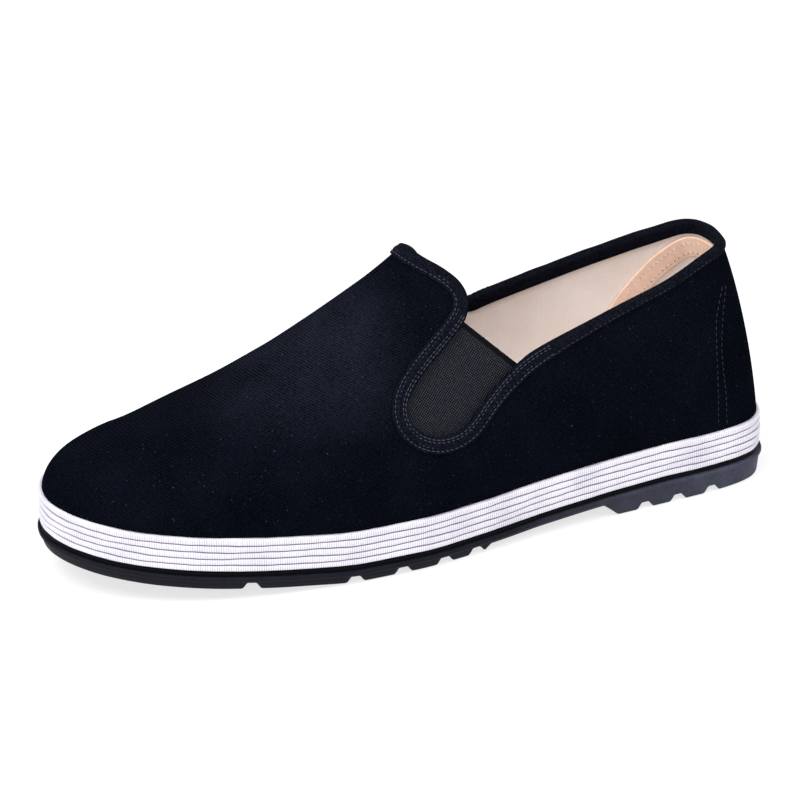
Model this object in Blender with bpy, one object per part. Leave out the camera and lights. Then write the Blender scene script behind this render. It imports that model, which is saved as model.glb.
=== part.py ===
"""A left slip-on cloth shoe with a bound-ply cloth sole on a lugged rubber outsole.

Metres. +Z is up, the toe points along +Y and the wearer's left is -X. The origin is on the
floor, under the middle of the outsole's length and width.
"""

import math

import bpy
import numpy as np

# Outsole sizes
LENGTH = 0.285
BALL_WIDTH = 0.100
HEEL_STACK = 0.0113
FORE_STACK = 0.0071
TOE_SPRING = 0.0118
ARCH_PLATE = 0.0053
NECK_HEIGHT = 0.0020
NECK_INSET = 0.0012
LIP_HEIGHT = 0.0016
LIP_STEP = 0.0008
LIP_BEVEL = 0.0006
TREAD_DRAFT = 0.0008
NOTCH_DEPTH = 0.0024
NOTCH_TOP = 0.0034
NOTCH_FLARE = 0.0016
BREAST_RUN = 0.0060
FRONT_RUN = 0.0030

# Cloth sole: plies bound in white cotton, stacked on the outsole
PLY_COUNT = 5
PLY_THICKNESS = 0.0023
PLY_INSET = 0.0008
PLY_EDGE = 0.0006
PLY_ROUND_SHARE = 0.3

# Upper, its lining and its trims
WALL = 0.0016
UPPER_INSET = 0.0014
INSTEP_HEIGHT = 0.1020
HEEL_HEIGHT = 0.0960
TAPE_WIDTH = 0.0062
TAPE_THICKNESS = 0.0008
GUSSET_THICKNESS = 0.0011
GUSSET_SEAM = 0.0050
GRIP_THICKNESS = 0.0010
GRIP_WIDTH = 0.0092
INSOLE_THICKNESS = 0.0022
CLEARANCE = 0.0003

# Mesh fineness
SIDE_STATIONS = 30
WALL_LEVELS = 11
ARCH_STATIONS = 7
RIDGE_SPREAD_SHARE = 0.4
FORM_TOP_SHARE = 1.1
SHARP_ANGLE = 35.0

# Sole outline: share of the length from the heel, then each side's share of half the ball width
OUTLINE = (
    # along, lateral, medial
    (0.00, 0.00, 0.00),
    (0.012, 0.33, 0.33),
    (0.04, 0.49, 0.50),
    (0.10, 0.59, 0.60),
    (0.20, 0.66, 0.65),
    (0.35, 0.76, 0.67),
    (0.45, 0.88, 0.71),
    (0.55, 0.98, 0.81),
    (0.65, 1.00, 0.94),
    (0.72, 0.985, 0.99),
    (0.80, 0.93, 1.00),
    (0.88, 0.79, 0.89),
    (0.94, 0.59, 0.68),
    (0.98, 0.35, 0.41),
    (1.00, 0.00, 0.00),
)

# Side line of the sole: how much of the extra heel height and of the toe spring applies
SOLE_LINE = (
    # along, heel, toe
    (0.00, 1.00, 0.00),
    (0.16, 1.00, 0.00),
    (0.25, 0.80, 0.00),
    (0.35, 0.38, 0.00),
    (0.42, 0.14, 0.00),
    (0.52, 0.00, 0.00),
    (0.62, 0.00, 0.00),
    (0.70, 0.00, 0.16),
    (0.78, 0.00, 0.35),
    (0.86, 0.00, 0.54),
    (0.94, 0.00, 0.77),
    (1.00, 0.00, 1.00),
)

# Last: each row is a rib of the upper, from the sole edge at along up to the ridge line.
# The ridge point is given as shares of the length and of the instep height, rise and crown
# are the rib's fullness at its foot and at its top, and bulge is a share of the ball width.
LAST = (
    # along, ridge_along, ridge_height, rise, crown, bulge
    (0.00, 0.210, 1.240, 0.44, 0.60, -0.046),
    (0.10, 0.240, 1.185, 0.49, 0.60, 0.025),
    (0.20, 0.290, 1.166, 0.46, 0.47, 0.076),
    (0.35, 0.390, 1.142, 0.44, 0.35, 0.101),
    (0.45, 0.460, 1.122, 0.39, 0.24, 0.108),
    (0.55, 0.545, 0.945, 0.49, 0.52, 0.040),
    (0.65, 0.645, 0.727, 0.61, 0.68, 0.042),
    (0.75, 0.735, 0.600, 0.57, 0.64, 0.022),
    (0.85, 0.815, 0.511, 0.55, 0.60, 0.008),
    (0.94, 0.865, 0.488, 0.57, 0.60, -0.004),
    (1.00, 0.885, 0.482, 0.59, 0.58, -0.020),
)
LAST_COLUMNS = ("ridge_along", "ridge_height", "rise", "crown", "bulge")

# Topline seen from the side, from the heel over the gusset's hollow to the tab, as shares of
# the length from the heel and of the heel height
TOPLINE = (
    # along, height
    (-0.100, 1.000),
    (0.000, 1.000),
    (0.054, 1.000),
    (0.086, 0.987),
    (0.119, 0.958),
    (0.149, 0.930),
    (0.177, 0.905),
    (0.232, 0.863),
    (0.286, 0.820),
    (0.340, 0.777),
    (0.367, 0.752),
    (0.390, 0.722),
    (0.420, 0.668),
    (0.446, 0.610),
    (0.466, 0.555),
    (0.488, 0.523),
    (0.512, 0.520),
    (0.534, 0.545),
    (0.549, 0.592),
    (0.551, 0.645),
    (0.541, 0.697),
    (0.520, 0.752),
    (0.495, 0.804),
    (0.470, 0.854),
    (0.449, 0.905),
    (0.440, 0.965),
    (0.447, 1.028),
    (0.466, 1.078),
    (0.486, 1.112),
    (0.501, 1.150),
    (0.511, 1.220),
    (0.516, 1.320),
)

# Upper edge of the elastic, seen from the side in the same shares, from the collar to the tab
ELASTIC_TOP = (
    # along, height
    (0.390, 0.726),
    (0.450, 0.894),
)

# Heel grip: the leather arch inside the heel, its outer edge seen from the side
GRIP_LINE = (
    # along, height
    (-0.100, 0.930),
    (0.030, 0.930),
    (0.060, 0.927),
    (0.080, 0.913),
    (0.100, 0.868),
    (0.121, 0.800),
    (0.143, 0.715),
    (0.163, 0.625),
    (0.185, 0.460),
    (0.195, 0.130),
)

# Tread notches cut across the rubber, as shares of the length from the heel
HEEL_BREAST_SHARE = 0.246
ARCH_FRONT_SHARE = 0.450
NOTCH_SHARES = (0.103, 0.155, 0.205, 0.461, 0.509, 0.569, 0.635, 0.772)

BLACK_TWILL = ("black_twill", (0.010, 0.011, 0.016), 0.85)
BLACK_TAPE = ("black_tape", (0.014, 0.015, 0.021), 0.80)
BLACK_ELASTIC = ("black_elastic", (0.018, 0.019, 0.022), 0.75)
WHITE_COTTON = ("white_cotton", (0.83, 0.81, 0.86), 0.85)
BLACK_RUBBER = ("black_rubber", (0.030, 0.031, 0.036), 0.55)
TAN_LEATHER = ("tan_leather", (0.68, 0.42, 0.28), 0.50)
BEIGE_LINING = ("beige_lining", (0.70, 0.60, 0.52), 0.90)


def material(finish):
    """A Principled material from (name, linear colour, roughness)."""
    name, colour, roughness = finish
    made = bpy.data.materials.get(name) or bpy.data.materials.new(name)
    made.use_nodes = True
    shader = made.node_tree.nodes["Principled BSDF"]
    shader.inputs["Base Color"].default_value = (*colour, 1.0)
    shader.inputs["Roughness"].default_value = roughness
    shader.inputs["Metallic"].default_value = 0.0
    return made


def add_object(name, points, faces, finish):
    """One named mesh object from points and faces."""
    mesh = bpy.data.meshes.new(name)
    mesh.from_pydata([tuple(map(float, p)) for p in points], [], faces)
    mesh.validate()
    mesh.materials.append(material(finish))
    mesh.shade_smooth()
    mesh.set_sharp_from_angle(angle=math.radians(SHARP_ANGLE))
    made = bpy.data.objects.new(name, mesh)
    bpy.context.scene.collection.objects.link(made)
    return made


def smooth_rows(table, column, at):
    """A column of a table read along its first column with a curve that never overshoots."""
    x = np.array([row[0] for row in table])
    y = np.array([row[column] for row in table])
    step = np.diff(x)
    slope = np.diff(y) / step
    tangent = np.zeros(len(x))
    for i in range(1, len(x) - 1):
        before, after = slope[i - 1], slope[i]
        if before * after > 0:
            w1 = 2 * step[i] + step[i - 1]
            w2 = step[i] + 2 * step[i - 1]
            tangent[i] = (w1 + w2) / (w1 / before + w2 / after)
    tangent[0], tangent[-1] = slope[0], slope[-1]
    at = np.clip(np.asarray(at, float), x[0], x[-1])
    k = np.clip(np.searchsorted(x, at, side="right") - 1, 0, len(x) - 2)
    t = (at - x[k]) / step[k]
    return (
        y[k] * (1 + 2 * t) * (1 - t) ** 2
        + tangent[k] * step[k] * t * (1 - t) ** 2
        + y[k + 1] * t * t * (3 - 2 * t)
        + tangent[k + 1] * step[k] * t * t * (t - 1)
    )


def station_angles(stations=SIDE_STATIONS):
    """Angles from 0 at the heel to pi at the toe, which crowd the stations at both ends."""
    return np.linspace(0.0, math.pi, stations + 1)


def half_width(side, angle):
    """Distance of the sole's edge from the centre line, for side 1 (lateral) or 2 (medial)."""
    turned = tuple((math.acos(1 - 2 * row[0]), row[side]) for row in OUTLINE)
    return smooth_rows(turned, 1, angle) * BALL_WIDTH / 2


def outline(inset=0.0):
    """The sole's outline as a closed ring of (x, y): heel centre, lateral side, toe, medial."""
    angle = station_angles()
    y = -LENGTH / 2 * np.cos(angle)
    lateral = np.stack([-half_width(1, angle), y], axis=1)
    medial = np.stack([half_width(2, angle), y], axis=1)
    ring = np.concatenate([lateral, medial[-2:0:-1]])
    return ring + inset * inward(ring)


def inward(ring):
    """Unit normals of a closed plan ring, pointing inwards."""
    along = np.roll(ring, -1, axis=0) - np.roll(ring, 1, axis=0)
    normal = np.stack([along[:, 1], -along[:, 0]], axis=1)
    return normal / np.linalg.norm(normal, axis=1, keepdims=True)


def share(y):
    """Share of the length from the heel at a y of the frame."""
    return np.asarray(y) / LENGTH + 0.5


def y_at(along):
    """The frame's y at a share of the length from the heel."""
    return (along - 0.5) * LENGTH


def toe_lift(y):
    """Height of the tread above the floor, which is the toe spring."""
    return TOE_SPRING * smooth_rows(SOLE_LINE, 2, share(y))


def outsole_top(y):
    """Height of the outsole's upper face."""
    heel = smooth_rows(SOLE_LINE, 1, share(y))
    return FORE_STACK + (HEEL_STACK - FORE_STACK) * heel + toe_lift(y)


def ply_bottom(number, y):
    """Height of the underside of a ply, counted from 0, or of what stands on the last one."""
    return outsole_top(y) + CLEARANCE + number * (PLY_THICKNESS + CLEARANCE)


def ring_at(plan, height):
    """A plan ring raised to height(y)."""
    return np.column_stack([plan, height(plan[:, 1])])


def cap_faces(first, count, upwards):
    """Strips across a ring of count points, from its lateral to its medial side."""
    half = count // 2
    faces = []
    for i in range(half):
        left, left_next = first + i, first + i + 1
        right, right_next = first + (count - i) % count, first + count - i - 1
        loop = [left, left_next, right_next, right]
        loop = list(dict.fromkeys(loop))
        faces.append(loop[::-1] if upwards else loop)
    return faces


def stack_rings(name, rings, finish):
    """A closed solid from rings listed from the bottom up, capped across at both ends."""
    count = len(rings[0])
    faces = cap_faces(0, count, False)
    for level in range(len(rings) - 1):
        low, high = level * count, (level + 1) * count
        for i in range(count):
            j = (i + 1) % count
            faces.append([low + i, high + i, high + j, low + j])
    faces += cap_faces((len(rings) - 1) * count, count, True)
    return add_object(name, np.concatenate(rings), faces, finish)


def side_prism(name, profile, x_from=-BALL_WIDTH, x_to=BALL_WIDTH):
    """A cutter: a side-view profile of (y, z) points drawn out along X."""
    count = len(profile)
    points = [(x, y, z) for x in (x_from, x_to) for y, z in profile]
    area = sum(
        a[0] * b[1] - b[0] * a[1] for a, b in zip(profile, profile[1:] + profile[:1])
    )
    near, far = list(range(count)), list(range(count, 2 * count))
    faces = [near[::-1], far]
    for i in range(count):
        j = (i + 1) % count
        faces.append([i, j, j + count, i + count])
    if area < 0:
        faces = [face[::-1] for face in faces]
    return as_guide(add_object(name, points, faces, BLACK_RUBBER))


def as_guide(made):
    """Marks an object as a cutter that is no part of the shoe."""
    made.hide_render = True
    made.display_type = "WIRE"
    return made


def boolean(target, operation, other):
    """Adds a Boolean modifier with the exact solver and returns the target."""
    modifier = target.modifiers.new(operation.lower(), "BOOLEAN")
    modifier.operation = operation
    modifier.solver = "EXACT"
    modifier.object = other
    return target


def make_outsole():
    """The moulded rubber sole: a neck under the plies, a lip, a tread wall and its hollows."""
    lip, neck = outline(), outline(NECK_INSET)
    lip_bottom = NECK_HEIGHT + LIP_HEIGHT

    def below_top(depth):
        return lambda y: outsole_top(y) - depth

    rings = [
        ring_at(outline(LIP_STEP + TREAD_DRAFT), toe_lift),
        ring_at(outline(LIP_STEP), below_top(lip_bottom + LIP_STEP / 2)),
        ring_at(lip, below_top(lip_bottom)),
        ring_at(lip, below_top(NECK_HEIGHT + LIP_BEVEL)),
        ring_at(outline(LIP_BEVEL), below_top(NECK_HEIGHT)),
        ring_at(neck, below_top(NECK_HEIGHT)),
        ring_at(neck, outsole_top),
    ]
    outsole = stack_rings("outsole", rings, BLACK_RUBBER)
    boolean(outsole, "DIFFERENCE", side_prism("arch_cutter", arch_profile()))
    for number, along in enumerate(NOTCH_SHARES):
        cutter = side_prism(f"notch_cutter_{number + 1}", notch_profile(along))
        boolean(outsole, "DIFFERENCE", cutter)
    return outsole


def notch_profile(along):
    """A notch of the tread from the side, flared towards the floor."""
    y = y_at(along)
    floor = float(toe_lift(y))
    top = floor + NOTCH_DEPTH
    low = floor - NOTCH_DEPTH
    wide = NOTCH_TOP / 2 + 2 * NOTCH_FLARE
    return [(y - wide, low), (y + wide, low), (y + NOTCH_TOP / 2, top), (y - NOTCH_TOP / 2, top)]


def arch_profile():
    """The hollow between the heel breast and the forepart, under a thin plate."""
    back, front = y_at(HEEL_BREAST_SHARE), y_at(ARCH_FRONT_SHARE)
    top = [
        (y, float(outsole_top(y)) - ARCH_PLATE)
        for y in np.linspace(back + BREAST_RUN, front - FRONT_RUN, ARCH_STATIONS)
    ]
    under = -NOTCH_DEPTH
    return [(back, 0.0), (back, under), (front, under), (front, 0.0)] + top[::-1]


def make_plies():
    """The cloth plies, each bound with a rounded white edge."""
    plies = []
    for number in range(PLY_COUNT):
        def height(rise, number=number):
            return lambda y: ply_bottom(number, y) + rise * PLY_THICKNESS

        edge, face = outline(PLY_INSET), outline(PLY_INSET + PLY_EDGE)
        rings = [
            ring_at(face, height(0)),
            ring_at(edge, height(PLY_ROUND_SHARE)),
            ring_at(edge, height(1 - PLY_ROUND_SHARE)),
            ring_at(face, height(1)),
        ]
        plies.append(stack_rings(f"sole_ply_{number + 1}", rings, WHITE_COTTON))
    return plies


def make_insole():
    """The cotton sock on the top ply, inside the upper's wall."""
    inset = PLY_INSET + UPPER_INSET + WALL + GRIP_THICKNESS + 3 * CLEARANCE
    plan = outline(inset)
    rings = [
        ring_at(plan, lambda y: ply_bottom(PLY_COUNT, y)),
        ring_at(plan, lambda y: ply_bottom(PLY_COUNT, y) + INSOLE_THICKNESS),
    ]
    return stack_rings("insole", rings, BEIGE_LINING)


def last_rows():
    """The last's ribs for every station of one side: a dictionary of columns."""
    angle = station_angles()
    along = (1 - np.cos(angle)) / 2
    spread = along + RIDGE_SPREAD_SHARE * (angle / math.pi - along)
    rows = {}
    for i, name in enumerate(LAST_COLUMNS):
        rows[name] = smooth_rows(LAST, i + 1, spread if name.startswith("ridge") else along)
    return rows


def ridge_slope(rows):
    """Slope of the ridge line at each station, in height per length."""
    y, z = rows["ridge_along"] * LENGTH, rows["ridge_height"] * INSTEP_HEIGHT
    return np.gradient(z, y)


def last_grid(levels=WALL_LEVELS):
    """Points of the last's surface: a list of levels, each a ring like the sole's outline."""
    foot = ring_at(outline(PLY_INSET + UPPER_INSET), lambda y: ply_bottom(PLY_COUNT, y))
    outwards = -inward(foot[:, :2])
    rows = last_rows()
    rows["slope"] = ridge_slope(rows)
    around = {name: np.concatenate([v, v[-2:0:-1]]) for name, v in rows.items()}
    ridge = np.column_stack([
        np.zeros(len(foot)),
        y_at(around["ridge_along"]),
        around["ridge_height"] * INSTEP_HEIGHT,
    ])
    rise = (ridge[:, 2] - foot[:, 2]) * around["rise"]
    low = foot + np.column_stack([outwards * (around["bulge"] * BALL_WIDTH)[:, None], rise])
    reach = (foot - ridge) * around["crown"][:, None]
    high = ridge + np.column_stack([reach[:, :2], around["slope"] * reach[:, 1]])
    grid = []
    for t in np.linspace(0, 1, levels + 1):
        a, b, c, d = (1 - t) ** 3, 3 * t * (1 - t) ** 2, 3 * t * t * (1 - t), t ** 3
        grid.append(a * foot + b * low + c * high + d * ridge)
    return grid


def make_form(name, outer, inner, finish):
    """The last's form as a wall from outer to inner, measured out from the last's surface.

    It is left open over the foot's opening, so that it folds nowhere above the topline.
    """
    grid = np.array(last_grid())
    levels, count = grid.shape[:2]
    ridge = grid[-1][: count // 2 + 1]
    points = np.concatenate([*grid[:-1], ridge])

    def number(level, i):
        i %= count
        return level * count + (min(i, count - i) if level == levels - 1 else i)

    faces = []
    for level in range(levels - 1):
        for i in range(count):
            a, b = number(level, i + 1), number(level, i)
            c, d = number(level + 1, i), number(level + 1, i + 1)
            quarter = 4 * i // count
            halves = [[a, b, d], [b, c, d]] if quarter % 2 else [[a, b, c], [a, c, d]]
            if points[[a, b, c, d], 2].min() < FORM_TOP_SHARE * INSTEP_HEIGHT:
                faces += halves
    used = sorted({corner for face in faces for corner in face})
    new = {old: k for k, old in enumerate(used)}
    faces = [[new[corner] for corner in face] for face in faces]
    made = add_object(name, points[used], faces, finish)
    thick = made.modifiers.new("wall", "SOLIDIFY")
    thick.thickness = outer - inner
    thick.offset = (outer + inner) / (outer - inner)
    thick.use_quality_normals = True
    return made


def side_point(row):
    """A (y, z) point from shares of the length and of the heel height."""
    return y_at(row[0]), row[1] * HEEL_HEIGHT


def curve_points(table, per_span=3):
    """Side-view points of a table of shares, as a smooth line through its rows."""
    rows = np.array([side_point(row) for row in table])
    ends = np.concatenate([[2 * rows[0] - rows[1]], rows, [2 * rows[-1] - rows[-2]]])
    points = []
    for a, b, c, d in zip(ends, ends[1:], ends[2:], ends[3:]):
        for t in np.arange(per_span) / per_span:
            points.append(
                0.5 * (2 * b + (c - a) * t + (2 * a - 5 * b + 4 * c - d) * t * t
                       + (3 * b - a - 3 * c + d) * t ** 3)
            )
    points.append(rows[-1])
    return np.array(points)


def meeting(a, b, c, d):
    """The point where the side-view stretches ab and cd cross, or None."""
    one, other = b - a, d - c
    turn = one[0] * other[1] - one[1] * other[0]
    if turn == 0:
        return None
    t = ((c - a)[0] * other[1] - (c - a)[1] * other[0]) / turn
    u = ((c - a)[0] * one[1] - (c - a)[1] * one[0]) / turn
    return a + t * one if 0 <= t <= 1 and 0 <= u <= 1 else None


def without_loops(line):
    """A side-view line without the small loops that it makes where it crosses itself."""
    points = list(line)
    first = 0
    while first < len(points) - 3:
        for last in range(len(points) - 2, first + 1, -1):
            point = meeting(*points[first : first + 2], *points[last : last + 2])
            if point is not None:
                points[first + 1 : last + 1] = [point]
                break
        first += 1
    return np.array(points)


def shifted(line, distance):
    """A side-view line moved sideways, to its right as it runs for a positive distance."""
    along = np.gradient(line, axis=0)
    normal = np.stack([along[:, 1], -along[:, 0]], axis=1)
    moved = line + distance * normal / np.linalg.norm(normal, axis=1, keepdims=True)
    return without_loops(moved)


def topline(distance):
    """The topline seen from the side, moved into the upper by distance."""
    return shifted(curve_points(TOPLINE), distance)


def opening(name, distance):
    """A cutter over the topline, which is moved into the upper by distance."""
    line = [tuple(point) for point in topline(distance)]
    high = 2 * INSTEP_HEIGHT
    return side_prism(name, line + [(line[-1][0], high), (line[0][0], high)])


def gusset_profile(reach, lift=0.0):
    """The elastic seen from the side: the hollow, larger by reach, under its raised edge."""
    (y1, z1), (y2, z2) = [side_point(row) for row in ELASTIC_TOP]
    along = np.array([y2 - y1, z2 - z1]) / math.hypot(y2 - y1, z2 - z1)
    line = topline(reach)
    below = (line[:, 0] - y1) * along[1] - (line[:, 1] - z1) * along[0] + lift
    middle = int(np.argmax(below))
    first = middle
    while below[first] > 0:
        first -= 1
    last = middle
    while below[last] > 0:
        last += 1

    def crossing(i, j):
        t = below[i] / (below[i] - below[j])
        return tuple(line[i] + t * (line[j] - line[i]))

    inside = [tuple(point) for point in line[first + 1 : last]]
    return [crossing(first, first + 1)] + inside + [crossing(last - 1, last)]


def make_upper():
    """The cloth upper: one wall on the last, cut along the topline and its two hollows."""
    upper = make_form("upper", 0.0, -WALL, BLACK_TWILL)
    cutter = opening("upper_opening_cutter", TAPE_THICKNESS + CLEARANCE)
    return boolean(upper, "DIFFERENCE", cutter)


def make_tape():
    """The bias tape folded over the upper's edge, with the elastic let in under its fold."""
    skin = CLEARANCE + TAPE_THICKNESS
    tape = make_form("topline_tape", skin, -WALL - skin, BLACK_TAPE)
    core = as_guide(make_form("tape_core", CLEARANCE, -WALL - CLEARANCE, BLACK_TAPE))
    boolean(core, "DIFFERENCE", opening("core_opening_cutter", TAPE_THICKNESS))
    beyond = -WALL - 4 * TAPE_THICKNESS
    pocket = as_guide(make_form("elastic_pocket", -WALL, beyond, BLACK_TAPE))
    room = side_prism("elastic_room_cutter", gusset_profile(TAPE_WIDTH + CLEARANCE, CLEARANCE))
    boolean(pocket, "INTERSECT", room)
    boolean(tape, "DIFFERENCE", core)
    boolean(tape, "DIFFERENCE", opening("tape_opening_cutter", 0.0))
    boolean(tape, "INTERSECT", opening("tape_edge_cutter", TAPE_WIDTH))
    return boolean(tape, "DIFFERENCE", pocket)


def make_gussets():
    """The elastic of either side, sewn in under the upper's wall."""
    profile = gusset_profile(GUSSET_SEAM)
    outer = -WALL - CLEARANCE
    for side, span in (("lateral", (-BALL_WIDTH, 0.0)), ("medial", (0.0, BALL_WIDTH))):
        gusset = make_form(f"gusset_{side}", outer, outer - GUSSET_THICKNESS, BLACK_ELASTIC)
        boolean(gusset, "INTERSECT", side_prism(f"gusset_{side}_cutter", profile, *span))


def make_heel_grip():
    """The leather arch that lines the heel under the tape."""
    outer = -WALL - CLEARANCE
    grip = make_form("heel_grip", outer, outer - GRIP_THICKNESS, TAN_LEATHER)
    edge = curve_points(GRIP_LINE)
    inner = shifted(edge, GRIP_WIDTH)
    profile = [tuple(point) for point in edge] + [tuple(point) for point in inner[::-1]]
    return boolean(grip, "INTERSECT", side_prism("grip_cutter", profile))


def main():
    for old in list(bpy.data.objects):
        bpy.data.objects.remove(old)
    make_outsole()
    make_plies()
    make_insole()
    make_upper()
    make_tape()
    make_gussets()
    make_heel_grip()


main()
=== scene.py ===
# %% [markdown]
# # A black cloth slip-on shoe, dressed for its studio picture
#
# The real shoe is a left slip-on with a black cotton upper, a bias tape folded over its edge,
# an elastic let in on either side, five cloth plies bound in white cotton and a rubber
# outsole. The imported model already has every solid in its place. This file keeps those
# places and sizes and gives each one the form and finish that the eye sees.
# Everything is in metres, the toe points along +Y and the wearer's left is -X.

import math

import bpy
import numpy as np
from mathutils import Matrix, Vector
from mathutils.bvhtree import BVHTree


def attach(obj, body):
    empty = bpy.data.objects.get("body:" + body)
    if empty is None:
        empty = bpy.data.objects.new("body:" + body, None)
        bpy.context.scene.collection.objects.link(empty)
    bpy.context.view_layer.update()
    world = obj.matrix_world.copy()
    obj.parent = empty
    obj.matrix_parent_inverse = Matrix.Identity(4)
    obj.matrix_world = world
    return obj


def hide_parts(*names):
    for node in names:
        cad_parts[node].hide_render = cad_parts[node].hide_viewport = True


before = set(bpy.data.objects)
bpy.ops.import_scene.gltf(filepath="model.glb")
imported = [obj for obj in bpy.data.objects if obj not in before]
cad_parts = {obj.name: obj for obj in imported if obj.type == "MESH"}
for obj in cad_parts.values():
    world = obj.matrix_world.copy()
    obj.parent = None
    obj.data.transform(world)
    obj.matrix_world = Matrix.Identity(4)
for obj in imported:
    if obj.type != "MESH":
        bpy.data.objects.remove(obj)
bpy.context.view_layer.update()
BODY = "root"
print("solids in the frame:", sorted(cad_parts))

# %% [markdown]
# ## The camera
#
# The photograph was taken from far off with a long lens, from the front of the shoe's outer
# side and a little above. The camera's place and turn were worked out from points of the sole
# that lie at a known height, so a lens of the same reach gives the same outlines.

# %% The camera
CAMERA_PLACE = (-1.30352, 0.488868, 0.673967)
CAMERA_RIGHT = (-0.35549334, -0.93457538, -0.01390441)
CAMERA_UP = (0.37973311, -0.15800383, 0.91150291)
CAMERA_AHEAD = (0.85406514, -0.31875325, -0.41105853)
SENSOR_MM = 36.0
LENS_MM = 184.5


def make_camera():
    """The camera, from its own right, up and view directions."""
    made = bpy.data.objects.new("camera", bpy.data.cameras.new("camera"))
    bpy.context.scene.collection.objects.link(made)
    turn = Matrix((CAMERA_RIGHT, CAMERA_UP, [-c for c in CAMERA_AHEAD])).transposed()
    made.matrix_world = Matrix.Translation(CAMERA_PLACE) @ turn.to_4x4()
    made.data.sensor_width = SENSOR_MM
    made.data.lens = LENS_MM
    made.data.clip_end = 100.0
    bpy.context.scene.camera = made


make_camera()
print("camera at", CAMERA_PLACE, "with a lens of", LENS_MM, "mm")

# %% [markdown]
# ## The shoe's own sizes
#
# A shoemaker works from a few sizes and curves: the sole's outline, its side line, the
# last and the topline. They are the same here as in the solids, so that a piece made from
# them lies where its solid lies, on a grid that is fine enough for a smooth edge.

# %% Sizes of the sole
LENGTH = 0.285
BALL_WIDTH = 0.100
HEEL_STACK = 0.0113
FORE_STACK = 0.0071
TOE_SPRING = 0.0118
ARCH_PLATE = 0.0053
NECK_HEIGHT = 0.0020
NECK_INSET = 0.0012
LIP_HEIGHT = 0.0016
LIP_STEP = 0.0008
TREAD_DRAFT = 0.0008
NOTCH_DEPTH = 0.0024
NOTCH_TOP = 0.0034
NOTCH_FLARE = 0.0016
BREAST_RUN = 0.0060
FRONT_RUN = 0.0030
HEEL_BREAST = 0.246
ARCH_FRONT = 0.450
NOTCHES = (0.103, 0.155, 0.205, 0.461, 0.509, 0.569, 0.635, 0.772)
PLY_COUNT = 5
PLY_THICKNESS = 0.0023
PLY_INSET = 0.0008
CLEARANCE = 0.0003

# %% Sizes of the upper
WALL = 0.0016
UPPER_INSET = 0.0014
INSTEP_HEIGHT = 0.1020
HEEL_HEIGHT = 0.0960
TAPE_WIDTH = 0.0062
TAPE_THICKNESS = 0.0008
GUSSET_THICKNESS = 0.0011
GUSSET_SEAM = 0.0050
GRIP_THICKNESS = 0.0010
GRIP_WIDTH = 0.0092
INSOLE_THICKNESS = 0.0022
RIDGE_SPREAD = 0.4

# %% The sole's outline and side line
# Share of the length from the heel, then the lateral and medial shares of half the ball width
OUTLINE = (
    (0.00, 0.00, 0.00), (0.012, 0.33, 0.33), (0.04, 0.49, 0.50), (0.10, 0.59, 0.60),
    (0.20, 0.66, 0.65), (0.35, 0.76, 0.67), (0.45, 0.88, 0.71), (0.55, 0.98, 0.81),
    (0.65, 1.00, 0.94), (0.72, 0.985, 0.99), (0.80, 0.93, 1.00), (0.88, 0.79, 0.89),
    (0.94, 0.59, 0.68), (0.98, 0.35, 0.41), (1.00, 0.00, 0.00),
)
# Share of the length, then how much of the heel's height and of the toe spring applies
SOLE_LINE = (
    (0.00, 1.00, 0.00), (0.16, 1.00, 0.00), (0.25, 0.80, 0.00), (0.35, 0.38, 0.00),
    (0.42, 0.14, 0.00), (0.52, 0.00, 0.00), (0.62, 0.00, 0.00), (0.70, 0.00, 0.16),
    (0.78, 0.00, 0.35), (0.86, 0.00, 0.54), (0.94, 0.00, 0.77), (1.00, 0.00, 1.00),
)

# %% The last, the topline and the lines inside the shoe
# Each row of the last: along, ridge along, ridge height, rise, crown, bulge
LAST = (
    (0.00, 0.210, 1.240, 0.44, 0.60, -0.046), (0.10, 0.240, 1.185, 0.49, 0.60, 0.025),
    (0.20, 0.290, 1.166, 0.46, 0.47, 0.076), (0.35, 0.390, 1.142, 0.44, 0.35, 0.101),
    (0.45, 0.460, 1.122, 0.39, 0.24, 0.108), (0.55, 0.545, 0.945, 0.49, 0.52, 0.040),
    (0.65, 0.645, 0.727, 0.61, 0.68, 0.042), (0.75, 0.735, 0.600, 0.57, 0.64, 0.022),
    (0.85, 0.815, 0.511, 0.55, 0.60, 0.008), (0.94, 0.865, 0.488, 0.57, 0.60, -0.004),
    (1.00, 0.885, 0.482, 0.59, 0.58, -0.020),
)
# Side-view lines: share of the length from the heel, share of the heel height
TOPLINE = (
    (-0.100, 1.000), (0.000, 1.000), (0.054, 1.000), (0.086, 0.987), (0.119, 0.958),
    (0.149, 0.930), (0.177, 0.905), (0.232, 0.863), (0.286, 0.820), (0.340, 0.777),
    (0.367, 0.752), (0.390, 0.722), (0.420, 0.668), (0.446, 0.610), (0.466, 0.555),
    (0.488, 0.523), (0.512, 0.520), (0.534, 0.545), (0.549, 0.592), (0.551, 0.645),
    (0.541, 0.697), (0.520, 0.752), (0.495, 0.804), (0.470, 0.854), (0.449, 0.905),
    (0.440, 0.965), (0.447, 1.028), (0.466, 1.078), (0.486, 1.112), (0.501, 1.150),
    (0.511, 1.220), (0.516, 1.320),
)
ELASTIC_TOP = ((0.390, 0.726), (0.450, 0.894))
GRIP_LINE = (
    (-0.100, 0.930), (0.030, 0.930), (0.060, 0.927), (0.080, 0.913), (0.100, 0.868),
    (0.121, 0.800), (0.143, 0.715), (0.163, 0.625), (0.185, 0.460), (0.195, 0.130),
)
print("a shoe of", round(LENGTH * 1000), "mm by", round(BALL_WIDTH * 1000), "mm")

# %% [markdown]
# ## Curves from tables
#
# The outline is read in an angle that runs from the heel to the toe, which crowds the points
# where the outline turns. The reading never overshoots its table, so a straight stretch of
# the shoe stays straight.

# %% Reading the tables


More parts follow.
